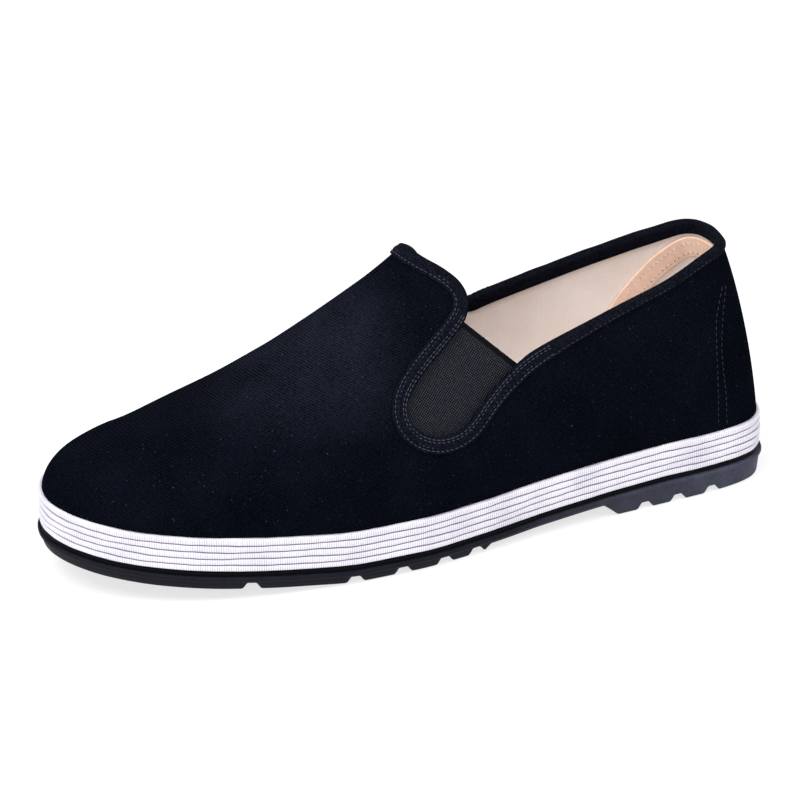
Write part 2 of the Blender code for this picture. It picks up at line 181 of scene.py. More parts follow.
def smooth_rows(table, column, at):
    """A column of a table read along its first column with a curve that never overshoots."""
    x = np.array([row[0] for row in table])
    y = np.array([row[column] for row in table])
    step = np.diff(x)
    slope = np.diff(y) / step
    tangent = np.zeros(len(x))
    for i in range(1, len(x) - 1):
        before, after = slope[i - 1], slope[i]
        if before * after > 0:
            w1, w2 = 2 * step[i] + step[i - 1], step[i] + 2 * step[i - 1]
            tangent[i] = (w1 + w2) / (w1 / before + w2 / after)
    tangent[0], tangent[-1] = slope[0], slope[-1]
    at = np.clip(np.asarray(at, float), x[0], x[-1])
    k = np.clip(np.searchsorted(x, at, side="right") - 1, 0, len(x) - 2)
    t = (at - x[k]) / step[k]
    ends = y[k] * (1 + 2 * t) * (1 - t) ** 2 + y[k + 1] * t * t * (3 - 2 * t)
    turns = tangent[k] * t * (1 - t) ** 2 + tangent[k + 1] * t * t * (t - 1)
    return ends + turns * step[k]


def share(y):
    """Share of the length from the heel at a y of the frame."""
    return np.asarray(y) / LENGTH + 0.5


def half_width(side, angle):
    """Distance of the sole's edge from the centre line, for side 1 (lateral) or 2 (medial)."""
    turned = tuple((math.acos(1 - 2 * row[0]), row[side]) for row in OUTLINE)
    return smooth_rows(turned, 1, angle) * BALL_WIDTH / 2


def inward(ring):
    """Unit normals of a closed plan ring, pointing inwards."""
    along = np.roll(ring, -1, axis=0) - np.roll(ring, 1, axis=0)
    normal = np.stack([along[:, 1], -along[:, 0]], axis=1)
    return normal / np.linalg.norm(normal, axis=1, keepdims=True)


def outline(stations, inset=0.0):
    """The sole's outline as a closed ring: heel centre, lateral side, toe, medial side."""
    angle = np.linspace(0.0, math.pi, stations + 1)
    y = -LENGTH / 2 * np.cos(angle)
    lateral = np.stack([-half_width(1, angle), y], axis=1)
    medial = np.stack([half_width(2, angle), y], axis=1)
    ring = np.concatenate([lateral, medial[-2:0:-1]])
    return ring + inset * inward(ring)


def toe_lift(y):
    """Height of the tread above the floor, which is the toe spring."""
    return TOE_SPRING * smooth_rows(SOLE_LINE, 2, share(y))


def outsole_top(y):
    """Height of the outsole's upper face."""
    heel = smooth_rows(SOLE_LINE, 1, share(y))
    return FORE_STACK + (HEEL_STACK - FORE_STACK) * heel + toe_lift(y)


def ply_bottom(number, y):
    """Height of the underside of a ply, counted from 0, or of what stands on the last one."""
    return outsole_top(y) + CLEARANCE + number * (PLY_THICKNESS + CLEARANCE)


def over_ply(number, lift=0.0):
    """A height function, of y or of x and y, that runs a lift over a ply's underside."""
    return lambda *place: ply_bottom(number, place[-1]) + lift


print("the plies end", round(float(ply_bottom(PLY_COUNT, 0.0)) * 1000, 1), "mm up at the waist")

# %% [markdown]
# ## Finishes
#
# Black cotton is never a flat black: the twill's diagonal wales catch light, the nap softens
# it, and lint sits in it. The plies are white cotton tape with a fine rib across. The rubber
# is a dull dark grey with a moulded grain. Each finish below is a small graph of nodes on
# Object coordinates, or on the piece's own UV map in metres where it follows the piece.

# %% Colour and node helpers


def linear(hex_code):
    """An sRGB hex colour such as 1c1e24 as the linear colour that the nodes use."""
    parts = [int(hex_code[i : i + 2], 16) / 255 for i in (0, 2, 4)]
    return (*[c / 12.92 if c <= 0.04045 else ((c + 0.055) / 1.055) ** 2.4 for c in parts], 1.0)


def add(tree, kind, inputs=None, **settings):
    """Adds a node: its settings by name, and each input a value or a socket to link."""
    node = tree.nodes.new(kind)
    for name, value in settings.items():
        setattr(node, name, value)
    for name, value in (inputs or {}).items():
        if isinstance(value, bpy.types.NodeSocket):
            tree.links.new(value, node.inputs[name])
        else:
            node.inputs[name].default_value = value
    return node


def finish_of(name, roughness, **uniform):
    """A new material with its uniform values on the shader's own sockets."""
    made = bpy.data.materials.new(name)
    made.use_nodes = True
    shader = made.node_tree.nodes["Principled BSDF"]
    shader.inputs["Roughness"].default_value = roughness
    for key, value in uniform.items():
        socket = key.replace("_", " ").title().replace("Ior", "IOR")
        shader.inputs[socket].default_value = value
    return made, made.node_tree, shader


def math_node(tree, operation, *values):
    """The result of one Math node."""
    return add(tree, "ShaderNodeMath", dict(enumerate(values)), operation=operation).outputs[0]


def weighed(tree, first, first_weight, second, second_weight):
    """Two values, each times its weight, added up."""
    rest = math_node(tree, "MULTIPLY", second, second_weight)
    return math_node(tree, "MULTIPLY_ADD", first, first_weight, rest)


def waves(tree, place, direction, pitch_mm):
    """Even waves from 0 to 1 across a direction, one for every pitch."""
    turn = Vector(direction).normalized() * (2000 * math.pi / pitch_mm)
    along = add(tree, "ShaderNodeVectorMath", {0: place, 1: turn}, operation="DOT_PRODUCT")
    sine = math_node(tree, "SINE", along.outputs["Value"])
    return math_node(tree, "MULTIPLY_ADD", sine, 0.5, 0.5)


def noise(tree, place, size_mm, detail=3.0, roughness=0.5):
    """Noise from 0 to 1 whose blotches are about the given size."""
    made = add(tree, "ShaderNodeTexNoise", {
        "Vector": place, "Scale": 1000 / size_mm, "Detail": detail, "Roughness": roughness})
    return made.outputs["Fac"]


def between(tree, share_socket, low, high):
    """A colour between two others by a share. Each of them is a hex colour or a socket."""
    low, high = [linear(end) if isinstance(end, str) else end for end in (low, high)]
    made = add(tree, "ShaderNodeMix", {0: share_socket, 6: low, 7: high}, data_type="RGBA")
    return made.outputs[2]


def ranged(tree, value, low, high, to_low=0.0, to_high=1.0):
    """A value taken from one range to another and kept inside it."""
    made = add(tree, "ShaderNodeMapRange",
               {0: value, 1: low, 2: high, 3: to_low, 4: to_high}, clamp=True)
    return made.outputs[0]


def part_of(tree, place, axis):
    """One coordinate of a place."""
    return add(tree, "ShaderNodeSeparateXYZ", {0: place}).outputs[axis]


def covered(tree, shader, colour, height, depth_mm, strength):
    """Gives the shader its colour, and a bump of a depth from a height of 0 to 1."""
    bump = add(tree, "ShaderNodeBump",
               {"Height": height, "Distance": depth_mm / 1000, "Strength": strength})
    tree.links.new(colour, shader.inputs["Base Color"])
    tree.links.new(bump.outputs["Normal"], shader.inputs["Normal"])


print("the colour 0c0e16 is", tuple(round(c, 4) for c in linear("0c0e16")[:3]), "in the nodes")

# %% [markdown]
# Cotton drill is a dense weave with fine diagonal wales about 0.5 mm apart, which fall a
# little towards the heel here. They are drawn 0.9 mm apart, because finer ones would not
# show at this distance. The cloth is piece-dyed black and matt, with a blue cast where light
# grazes its nap. A paler colour is painted on top of the vamp as a painted highlight, where
# the light falls on it, and lint sits in the cloth.

# %% Black cotton twill
NAP_TINT = "a3a8c8"
TWILL_DIRECTION = (0.16, -0.52, 1.0)
TWILL_PITCH_MM = 0.9
# Where the painted highlight on top of the vamp starts and is full, in metres up and ahead
HIGHLIGHT_UP = (0.052, 0.088)
HIGHLIGHT_AHEAD = (0.005, 0.045)


def black_cotton_twill():
    made, tree, shader = finish_of(
        "black cotton twill", 0.8, sheen_weight=0.012, sheen_roughness=0.35,
        sheen_tint=linear(NAP_TINT), specular_ior_level=0.0,
    )
    place = add(tree, "ShaderNodeTexCoord").outputs["Object"]
    wales = waves(tree, place, TWILL_DIRECTION, TWILL_PITCH_MM)
    yarn = noise(tree, place, 0.8, detail=4.0, roughness=0.75)
    patch = noise(tree, place, 22.0, detail=2.0)
    weave = weighed(tree, yarn, 1.7, wales, 0.35)
    tone = weighed(tree, patch, 0.3, weave, 0.6)
    deep = between(tree, ranged(tree, tone, 0.5, 1.05), "010104", "0f121b")
    # Painted highlight: a paler copy of the cloth's colour, laid on top of the vamp where the light
    # falls
    painted_highlight = between(tree, ranged(tree, tone, 0.55, 1.05), "05060a", "2d2f3e")
    high = ranged(tree, part_of(tree, place, "Z"), *HIGHLIGHT_UP)
    ahead = ranged(tree, part_of(tree, place, "Y"), *HIGHLIGHT_AHEAD)
    cloth = between(tree, math_node(tree, "MULTIPLY", high, ahead), deep, painted_highlight)
    lint = ranged(tree, noise(tree, place, 0.8, detail=1.0), 0.75, 0.81)
    covered(tree, shader, between(tree, lint, cloth, "343849"), weave, 0.14, 0.7)
    return made


TWILL = black_cotton_twill()
print("made", TWILL.name)

# %% [markdown]
# The bias tape is a thinner cotton cut at 45 degrees, so its weave runs across the tape at a
# slant. It follows the tape's own UV map, whose first coordinate runs along the edge. The
# elastic is a plain weave of rubber cores spun over with cotton, with a smooth selvedge.
# Both weaves are drawn about 0.75 mm apart, coarser than the real ones, so that they show.

# %% Black bias tape, elastic and threads


def black_bias_tape():
    made, tree, shader = finish_of(
        "black cotton bias tape", 0.75, sheen_weight=0.02, sheen_roughness=0.35,
        sheen_tint=linear(NAP_TINT), specular_ior_level=0.01,
    )
    place = add(tree, "ShaderNodeTexCoord")
    warp = waves(tree, place.outputs["UV"], (1.0, 1.0, 0.0), 0.7)
    weft = waves(tree, place.outputs["UV"], (1.0, -1.0, 0.0), 0.7)
    yarn = noise(tree, place.outputs["Object"], 0.9, detail=4.0, roughness=0.75)
    weave = weighed(tree, yarn, 1.5, math_node(tree, "MULTIPLY", warp, weft), 0.25)
    cloth = between(tree, ranged(tree, weave, 0.6, 1.15), "030407", "191b26")
    covered(tree, shader, cloth, weave, 0.10, 0.6)
    return made


SELVEDGE = 0.0019
SELVEDGE_BLEND = 0.0002


def black_woven_elastic():
    made, tree, shader = finish_of(
        "black woven elastic", 0.6, sheen_weight=0.02, sheen_roughness=0.4,
        specular_ior_level=0.05,
    )
    place = add(tree, "ShaderNodeTexCoord")
    ribs = waves(tree, place.outputs["UV"], (1.0, 0.0, 0.0), 0.8)
    rows = waves(tree, place.outputs["UV"], (0.0, 1.0, 0.0), 0.75)
    yarn = noise(tree, place.outputs["Object"], 0.8, detail=3.0, roughness=0.75)
    grid = math_node(tree, "MULTIPLY", ribs, rows)
    weave = math_node(tree, "MULTIPLY_ADD", yarn, 1.1, grid)
    cloth = between(tree, ranged(tree, weave, 0.6, 1.6), "020305", "42444e")
    below = part_of(tree, place.outputs["UV"], "Y")
    band = ranged(tree, below, SELVEDGE - SELVEDGE_BLEND, SELVEDGE + SELVEDGE_BLEND)
    covered(tree, shader, between(tree, band, "06070a", cloth), weave, 0.15, 0.6)
    return made


def spun_thread(name, low, high):
    made, tree, shader = finish_of(name, 0.55, specular_ior_level=0.4)
    place = add(tree, "ShaderNodeTexCoord").outputs["Object"]
    tree.links.new(between(tree, noise(tree, place, 0.5), low, high), shader.inputs["Base Color"])
    return made


TAPE = black_bias_tape()
ELASTIC = black_woven_elastic()
DARK_THREAD = spun_thread("grey polyester thread", "1e2332", "3c465c")
BLACK_THREAD = spun_thread("black polyester thread", "12141d", "2a2f3f")
HEEL_THREAD = spun_thread("dark grey polyester thread", "11141e", "232836")
PALE_THREAD = spun_thread("white cotton thread", "d8cdc2", "f6f0ea")
print("made", TAPE.name, "and", ELASTIC.name)

# %% [markdown]
# The plies' binding is bleached cotton with a fine cross rib. White cloth under a soft light
# is bright, but its small soil and the lilac cast of its weave keep it from looking like
# plastic, and a lilac grey line of painted shade runs where two plies meet. The rib is drawn
# 0.85 mm apart, about twice as coarse as the real one, and so is the plain weave of the
# lining and the insole cloth.

# %% White cotton binding, lining and insole cloth
# How deep the painted shade line of the crevice between two plies is, and how far the ribs make it
# ragged
PLY_SHADE_LINE = 0.00024
PLY_RAGGED = 0.00006


def white_cotton_binding():
    made, tree, shader = finish_of(
        "bleached cotton binding", 0.8, sheen_weight=0.05, specular_ior_level=0.15,
    )
    place = add(tree, "ShaderNodeTexCoord")
    rib = waves(tree, place.outputs["UV"], (1.0, 0.0, 0.0), 0.85)
    yarn = noise(tree, place.outputs["Object"], 0.9, detail=3.0, roughness=0.6)
    soil = noise(tree, place.outputs["Object"], 14.0, detail=3.0)
    weave = math_node(tree, "MULTIPLY_ADD", yarn, 0.6, rib)
    tone = weighed(tree, soil, 0.5, weave, 0.45)
    cloth = between(tree, ranged(tree, tone, 0.3, 0.95), "b6b1c2", "f4f2f8")
    # Painted shade: a lilac grey line 928f9c along the ply's top and bottom edges, where the
    # crevice between two plies is
    height = part_of(tree, place.outputs["UV"], "Y")
    above = math_node(tree, "SUBTRACT", PLY_THICKNESS, height)
    nearest = math_node(tree, "MINIMUM", height, above)
    ragged = math_node(tree, "MULTIPLY_ADD", rib, -PLY_RAGGED, nearest)
    face = ranged(tree, ragged, 0.00001, PLY_SHADE_LINE)
    covered(tree, shader, between(tree, face, "928f9c", cloth), weave, 0.10, 0.5)
    return made


def beige_plain_weave(name, low, high):
    made, tree, shader = finish_of(name, 0.85, sheen_weight=0.06, specular_ior_level=0.12)
    place = add(tree, "ShaderNodeTexCoord").outputs["Object"]
    warp = waves(tree, place, (0.35, 1.0, 0.0), 0.85)
    weft = waves(tree, place, (0.0, 0.25, 1.0), 0.85)
    yarn = noise(tree, place, 0.9, detail=4.0, roughness=0.6)
    blotch = noise(tree, place, 17.0, detail=3.0)
    weave = weighed(tree, yarn, 1.0, math_node(tree, "MULTIPLY", warp, weft), 0.5)
    tone = weighed(tree, blotch, 0.6, weave, 0.4)
    cloth = between(tree, ranged(tree, tone, 0.3, 0.95), low, high)
    covered(tree, shader, cloth, weave, 0.08, 0.5)
    return made


BINDING = white_cotton_binding()
LINING = beige_plain_weave("natural cotton lining", "efe0d8", "fffbf9")
SOCK = beige_plain_weave("natural cotton insole cloth", "cfbeb0", "ecdfd5")
print("made", BINDING.name, "and", LINING.name)

# %% [markdown]
# The heel grip is split pigskin, tan and lightly polished, with fine pores. The outsole is
# vulcanised rubber from a steel mould that was blasted, so it has a fine grain and little
# gloss. Its colour is painted greyer towards the heel as a painted highlight where light
# falls on the heel, and near black in the narrow neck under the plies as painted shade. It
# has a strip of small teeth on the lip below that neck.

# %% Tan leather and black rubber
PORE_MM = 0.9
KNURL_MM = 1.1
KNURL_HEIGHT = 0.0009
# Where the painted highlight on the rubber starts towards the heel, and where it is full
HEEL_HIGHLIGHT_FROM, HEEL_HIGHLIGHT_AT = -0.02, -0.12


def tan_leather():
    made, tree, shader = finish_of(
        "tan pig leather", 0.5, specular_ior_level=0.3, coat_weight=0.05, coat_roughness=0.35,
    )
    place = add(tree, "ShaderNodeTexCoord").outputs["Object"]
    pores = add(tree, "ShaderNodeTexVoronoi", {"Vector": place, "Scale": 1000 / PORE_MM},
                feature="F1").outputs["Distance"]
    grain = noise(tree, place, 2.4, detail=4.0)
    patch = noise(tree, place, 12.0, detail=2.0)
    tone = weighed(tree, grain, 0.5, patch, 0.5)
    skin = between(tree, ranged(tree, tone, 0.3, 0.7), "e2bda6", "f8d8c6")
    covered(tree, shader, skin, math_node(tree, "MULTIPLY_ADD", pores, 0.6, grain), 0.10, 0.4)
    return made


def black_rubber():
    made, tree, shader = finish_of("black vulcanised rubber", 0.5, specular_ior_level=0.06)
    coordinates = add(tree, "ShaderNodeTexCoord")
    place = coordinates.outputs["Object"]
    grit = noise(tree, place, 0.8, detail=4.0, roughness=0.75)
    scuff = noise(tree, place, 9.0, detail=5.0, roughness=0.6)
    tone = ranged(tree, weighed(tree, scuff, 0.6, grit, 0.5), 0.35, 0.75)
    black = between(tree, tone, "0b0c12", "1c1d26")
    # Painted highlight: a greyer copy of the rubber's colour towards the heel, where light falls on
    # its wall
    heel_highlight = between(tree, tone, "303140", "4c4d5c")
    heel_highlight_share = ranged(tree, part_of(tree, place, "Y"), HEEL_HIGHLIGHT_FROM, HEEL_HIGHLIGHT_AT)
    depth = part_of(tree, coordinates.outputs["UV"], "Y")
    # Painted shade: near black 06070b over the narrow recessed neck under the plies
    clear_of_neck_shade = ranged(tree, depth, NECK_HEIGHT - 0.0006, NECK_HEIGHT + 0.0001)
    wall = between(tree, heel_highlight_share, black, heel_highlight)
    tree.links.new(ranged(tree, scuff, 0.3, 0.7, 0.42, 0.62), shader.inputs["Roughness"])
    teeth = waves(tree, coordinates.outputs["UV"], (1.0, 0.0, 0.0), KNURL_MM)
    top = ranged(tree, depth, NECK_HEIGHT - 0.0001, NECK_HEIGHT + 0.0001)
    under = ranged(tree, depth, NECK_HEIGHT + KNURL_HEIGHT - 0.0001,
                   NECK_HEIGHT + KNURL_HEIGHT + 0.0001, 1.0, 0.0)
    knurl = math_node(tree, "MULTIPLY", teeth, math_node(tree, "MULTIPLY", top, under))
    height = math_node(tree, "MULTIPLY_ADD", knurl, 1.2, grit)
    covered(tree, shader, between(tree, clear_of_neck_shade, "06070b", wall), height, 0.16, 0.6)
    return made


LEATHER = tan_leather()
RUBBER = black_rubber()
print("made", LEATHER.name, "and", RUBBER.name)

# %% [markdown]
# ## Meshes from rings and walls
#
# Three small helpers make every body of the shoe: one turns points and faces into a mesh
# that rides on the frame, one stacks rings like a potter's coils, and one gives a surface
# the thickness of a cloth.

# %% Mesh helpers
SHARP_ANGLE = math.radians(40)


def place_piece(made, slot, *nodes):
    """Attaches a finished object to its body and hides the solids of the nodes it stands for. The
    slot is not used.
    """
    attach(made, BODY)
    if nodes:
        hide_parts(*nodes)
    made.data.calc_loop_triangles()
    print(made.name, "has", len(made.data.loop_triangles), "triangles")
    return made


def mesh_object(name, points, faces, material, uv=None, sharp=SHARP_ANGLE):
    """One named smooth mesh object, with a UV map in metres where uv is given."""
    mesh = bpy.data.meshes.new(name)
    mesh.from_pydata(np.asarray(points, float).tolist(), [], [list(face) for face in faces])
    if uv is not None:
        layer = mesh.uv_layers.new(name="cloth")
        corner = np.zeros(len(mesh.loops), np.int32)
        mesh.loops.foreach_get("vertex_index", corner)
        layer.data.foreach_set("uv", np.asarray(uv, np.float32)[corner].ravel())
    mesh.validate()
    mesh.materials.append(material)
    mesh.shade_smooth()
    if sharp:
        mesh.set_sharp_from_angle(angle=sharp)
    made = bpy.data.objects.new(name, mesh)
    bpy.context.scene.collection.objects.link(made)
    return made


def ring_at(plan, height):
    """A plan ring raised to height(y)."""
    return np.column_stack([plan, height(plan[:, 1])])


def perimeter(ring):
    """Distance along a closed ring to each of its points."""
    step = np.linalg.norm(np.roll(ring, -1, axis=0) - ring, axis=1)
    return np.concatenate([[0.0], np.cumsum(step)[:-1]])


def cap_grid(ring, across, height):
    """Inner points of a cap, in rows from the ring's lateral to its medial side."""
    count = len(ring)
    rows = []
    for i in range(1, count // 2):
        left, right = ring[i], ring[count - i]
        for k in range(1, across):
            t = k / across
            rows.append([*(left[:2] + t * (right[:2] - left[:2])), 0.0])
    rows = np.array(rows)
    rows[:, 2] = height(rows[:, 0], rows[:, 1])
    return rows


def cap_faces(first, count, inner, across, upwards):
    """Faces of a cap whose ring starts at first and whose inner points start at inner."""
    half = count // 2

    def at(i, k):
        if k == 0:
            return first + i
        if k == across:
            return first + (count - i) % count
        return inner + (i - 1) * (across - 1) + k - 1

    faces = []
    for i in range(half):
        for k in range(across):
            if i == 0:
                loop = [first, at(1, k), at(1, k + 1)]
            elif i == half - 1:
                loop = [at(i, k), first + half, at(i, k + 1)]
            else:
                loop = [at(i, k), at(i + 1, k), at(i + 1, k + 1), at(i, k + 1)]
            faces.append(loop[::-1] if upwards else loop)
    return faces


def stack_rings(name, rings, material, low_cap, high_cap, across=12, runs=None):
    """A closed body from rings listed from the bottom up, with a grid over each end.

    Its UV map runs along the rings, and up by each ring's own run. Each cap has its ring's run.
    """
    count = len(rings[0])
    caps = [cap_grid(rings[0], across, low_cap), cap_grid(rings[-1], across, high_cap)]
    points = list(rings) + caps
    inner_low = len(rings) * count
    inner_high = inner_low + len(caps[0])
    faces = cap_faces(0, count, inner_low, across, False)
    for level in range(len(rings) - 1):
        low, high = level * count, (level + 1) * count
        for i in range(count):
            j = (i + 1) % count
            faces.append([low + i, high + i, high + j, low + j])
    faces += cap_faces((len(rings) - 1) * count, count, inner_high, across, True)
    along = perimeter(rings[0][:, :2])
    runs = [0.0] * len(rings) if runs is None else runs
    uv = [np.column_stack([along, np.full(count, run)]) for run in runs]
    uv += [np.column_stack([cap[:, 0], np.full(len(cap), run)])
           for cap, run in zip(caps, (runs[0], runs[-1]))]
    return mesh_object(name, np.concatenate(points), faces, material, np.concatenate(uv))


# %% [markdown]
# ## The rubber outsole
#
# The outsole was pressed in one mould: a narrow neck under the plies, a lip below it, a side
# face with a fine grain, and a tread cut by notches that run right across. Since every notch
# runs across, the tread's height depends on the length alone, and a stack of fine rings can
# follow it with soft corners. The fine tread underneath is small blocks.

# %% The outsole
OUTSOLE_STATIONS = 560
CORNER_SOFTNESS = 0.00035
CORNER_SAMPLES = 4000
CORNER_REACH = 12
EDGE_ROUND = 0.0004
TREAD_PITCH = 0.0072
TREAD_GROOVE = 0.0011
TREAD_RIM = 0.006


def cut_height(y):
    """Height of the underside with its sharp arch and notches."""
    floor = toe_lift(y)
    bottom = floor.copy()
    for along in NOTCHES:
        away = np.abs(y - (along - 0.5) * LENGTH)
        depth = NOTCH_DEPTH * np.clip((NOTCH_TOP / 2 + NOTCH_FLARE - away) / NOTCH_FLARE, 0, 1)
        bottom = np.maximum(bottom, floor + depth)
    back, front = (HEEL_BREAST - 0.5) * LENGTH, (ARCH_FRONT - 0.5) * LENGTH
    plate = outsole_top(y) - ARCH_PLATE
    slope = np.minimum((y - back) / BREAST_RUN, (front - y) / FRONT_RUN)
    return np.maximum(bottom, np.where(slope > 0, plate * np.clip(slope, 0, 1), bottom))


def soft_height(y):
    """The underside's height with its corners rounded."""
    line = np.linspace(-LENGTH / 2 - 0.005, LENGTH / 2 + 0.005, CORNER_SAMPLES)
    reach = np.arange(-CORNER_REACH, CORNER_REACH + 1) * (line[1] - line[0])
    weight = np.exp(-(reach / CORNER_SOFTNESS) ** 2 / 2)
    padded = np.pad(cut_height(line), CORNER_REACH, mode="edge")
    soft = np.convolve(padded, weight / weight.sum(), mode="valid")
    return np.maximum(np.interp(y, line, soft), toe_lift(y))


def tread_height(x, y):
    """The underside with small square blocks cut by crossing grooves."""
    wave = [np.cos(2 * np.pi * slant / TREAD_PITCH) for slant in (x + y, x - y)]
    groove = np.clip((np.maximum(*wave) - 0.55) / 0.3, 0, 1)
    return soft_height(y) + TREAD_GROOVE * groove


def make_outsole():
    """The outsole: tread, side face with its draft, lip and neck."""

    def below(depth):
        return lambda y: np.maximum(outsole_top(y) - depth, soft_height(y) + EDGE_ROUND)

    side, lip_bottom = LIP_STEP, NECK_HEIGHT + LIP_HEIGHT
    profile = (
        # inset, depth under the upper face
        (side, lip_bottom + 0.0006), (side - 0.0001, lip_bottom + 0.0003), (0.0003, lip_bottom),
        (0.0, lip_bottom - 0.0004), (0.0, NECK_HEIGHT + 0.0006), (0.0002, NECK_HEIGHT + 0.0002),
        (0.0005, NECK_HEIGHT), (NECK_INSET - 0.0002, NECK_HEIGHT + 0.0003),
        (NECK_INSET + 0.0002, NECK_HEIGHT), (NECK_INSET, NECK_HEIGHT / 2), (NECK_INSET, 0.0002),
        (NECK_INSET + 0.0003, 0.0),
    )
    low = side + TREAD_DRAFT
    rings = [
        ring_at(outline(OUTSOLE_STATIONS, low + TREAD_RIM), soft_height),
        ring_at(outline(OUTSOLE_STATIONS, low + 0.0005), soft_height),
        ring_at(outline(OUTSOLE_STATIONS, low), lambda y: soft_height(y) + EDGE_ROUND),
    ]
    rings += [ring_at(outline(OUTSOLE_STATIONS, inset), below(depth)) for inset, depth in profile]
    runs = [2 * HEEL_STACK, HEEL_STACK, HEEL_STACK] + [depth for _, depth in profile]
    made = stack_rings("outsole_rubber", rings, RUBBER, tread_height,
                       lambda x, y: outsole_top(y), across=40, runs=runs)
    return place_piece(made, "black_rubber", "outsole")


make_outsole()

# %% [markdown]
# ## The cloth plies
#
# Layers of pasted cloth are each bound in a strip of white cotton and stacked. A bound edge
# is a soft half round that is never quite even: it bulges and dips by a tenth of a
# millimetre or two. Each ply is a stack of rings with a round profile and its own waves.

# %% The plies
PLY_STATIONS = 420
PLY_ROUNDS = 10
PLY_ROLL = 0.0008
# Length and size of each wave in mm; the second ply's waves are turned on from the first's
WAVE_MM = ((61.0, 0.11), (23.0, 0.07), (9.0, 0.035))


def hand_wave(distance, seed):
    """A gentle uneven line in metres, the same each time for one seed."""
    made = np.zeros_like(distance)
    for order, (length, size) in enumerate(WAVE_MM):
        turn = 1.7 * seed + 2.3 * order
        made += size * np.sin(2000 * math.pi * distance / length + turn)
    return made / 1000


def make_ply(number):
    """One bound ply, with a half-round edge."""
    plan = outline(PLY_STATIONS, PLY_INSET)
    inwards = inward(plan)
    along = perimeter(plan)
    wave_out = hand_wave(along, number) * 0.8
    low_wave, high_wave = hand_wave(along, number - 0.5), hand_wave(along, number + 0.5)
    # The outer faces of the stack have no painted crevice shade, so their runs stop half way
    lower = 0.5 if number == 0 else 0.0
    upper = 0.5 if number == PLY_COUNT - 1 else 1.0
    sunk = 0.0 if number == 0 else 0.6 * CLEARANCE
    rings, runs = [], []
    for k in range(PLY_ROUNDS + 1):
        turn = math.pi * k / PLY_ROUNDS
        inset = PLY_ROLL * (1 - math.sin(turn)) ** 2
        rise = (1 - math.cos(turn)) / 2
        runs.append(min(max(rise, lower), upper) * PLY_THICKNESS)
        height = ply_bottom(number, plan[:, 1]) - sunk + rise * (PLY_THICKNESS + sunk)
        height = height + (1 - rise) * low_wave * (number > 0) + rise * high_wave
        edge = plan + inwards * (inset + wave_out)[:, None]
        rings.append(np.column_stack([edge, height]))
    made = stack_rings(f"bound_ply_{number + 1}", rings, BINDING, over_ply(number),
                       over_ply(number, PLY_THICKNESS), across=6, runs=runs)
    return place_piece(made, "white_cotton", f"sole_ply_{number + 1}")


for ply in range(PLY_COUNT):
    make_ply(ply)

# %% [markdown]
# ## The last
#
# The upper was stretched over a wooden last, and keeps its form. The last here is a grid of
# ribs: each rib rises from the sole's edge to the ridge line over the instep. Everything sewn
# to the upper is measured out from this one surface.

# %% The last's surface
LAST_STATIONS = 132
LAST_LEVELS = 64
LAST_COLUMNS = ("ridge_along", "ridge_height", "rise", "crown", "bulge")


def last_surface():
    """Points and faces of the last, down to the sole's edge."""
    foot = ring_at(outline(LAST_STATIONS, PLY_INSET + UPPER_INSET), over_ply(PLY_COUNT))
    angle = np.linspace(0.0, math.pi, LAST_STATIONS + 1)
    along = (1 - np.cos(angle)) / 2
    spread = along + RIDGE_SPREAD * (angle / math.pi - along)
    rows = {}
    for i, name in enumerate(LAST_COLUMNS):
        rows[name] = smooth_rows(LAST, i + 1, spread if name.startswith("ridge") else along)
    rows["slope"] = np.gradient(rows["ridge_height"] * INSTEP_HEIGHT, rows["ridge_along"] * LENGTH)
    around = {name: np.concatenate([v, v[-2:0:-1]]) for name, v in rows.items()}
    count = len(foot)
    ridge = np.column_stack([
        np.zeros(count),
        (around["ridge_along"] - 0.5) * LENGTH,
        around["ridge_height"] * INSTEP_HEIGHT,
    ])
    rise = (ridge[:, 2] - foot[:, 2]) * around["rise"]
    outwards = -inward(foot[:, :2]) * (around["bulge"] * BALL_WIDTH)[:, None]
    low = foot + np.column_stack([outwards, rise])
    reach = (foot - ridge) * around["crown"][:, None]
    high = ridge + np.column_stack([reach[:, :2], around["slope"] * reach[:, 1]])
    t = np.linspace(0, 1, LAST_LEVELS + 1)[:, None, None]
    grid = ((1 - t) ** 3 * foot + 3 * t * (1 - t) ** 2 * low
            + 3 * t * t * (1 - t) * high + t ** 3 * ridge)
    points = np.concatenate([*grid[:-1], grid[-1][: count // 2 + 1]])

    def number(level, i):
        i %= count
        top = level == LAST_LEVELS
        return level * count + (min(i, count - i) if top else i)

    faces = []
    for level in range(LAST_LEVELS):
        for i in range(count):
            corners = ((level, i + 1), (level, i), (level + 1, i), (level + 1, i + 1))
            loop = list(dict.fromkeys(number(*corner) for corner in corners))
            if len(loop) > 2:
                faces.append(loop)
    return points, faces


def smooth_normals(points, faces):
    """Outward unit normals at the points of a mesh."""
    normals = np.zeros_like(points)
    for face in faces:
        a, b, c, d = (points[face[k]] for k in (0, 1, -1, 2))
        turn = np.cross(b - a, c - a) + np.cross(d - b, a - b)
        for corner in face:
            normals[corner] += turn
    size = np.linalg.norm(normals, axis=1, keepdims=True)
    return normals / np.maximum(size, 1e-12)


last_points, last_faces = last_surface()
last_normals = smooth_normals(last_points, last_faces)
side_normal = last_normals[np.argmin(last_points[:, 0])]
if side_normal[0] > 0:
    last_normals = -last_normals
    last_faces = [face[::-1] for face in last_faces]
last_tree = BVHTree.FromPolygons(last_points.tolist(), last_faces)
print("the last has", len(last_points), "points; its widest normal is", side_normal.round(2))

# %% [markdown]
# ## Lines on the last
#
# A pattern cutter draws the topline and the seams on the side of the last. The same is done
# here: a line drawn in side view gives each point of the last a signed distance, the cloth
# is cut where that distance is zero, and a seam follows the points where it has one value.

# %% Side-view lines


def side_point(row):
    """A (y, z) point from shares of the length and of the heel height."""
    return (row[0] - 0.5) * LENGTH, row[1] * HEEL_HEIGHT


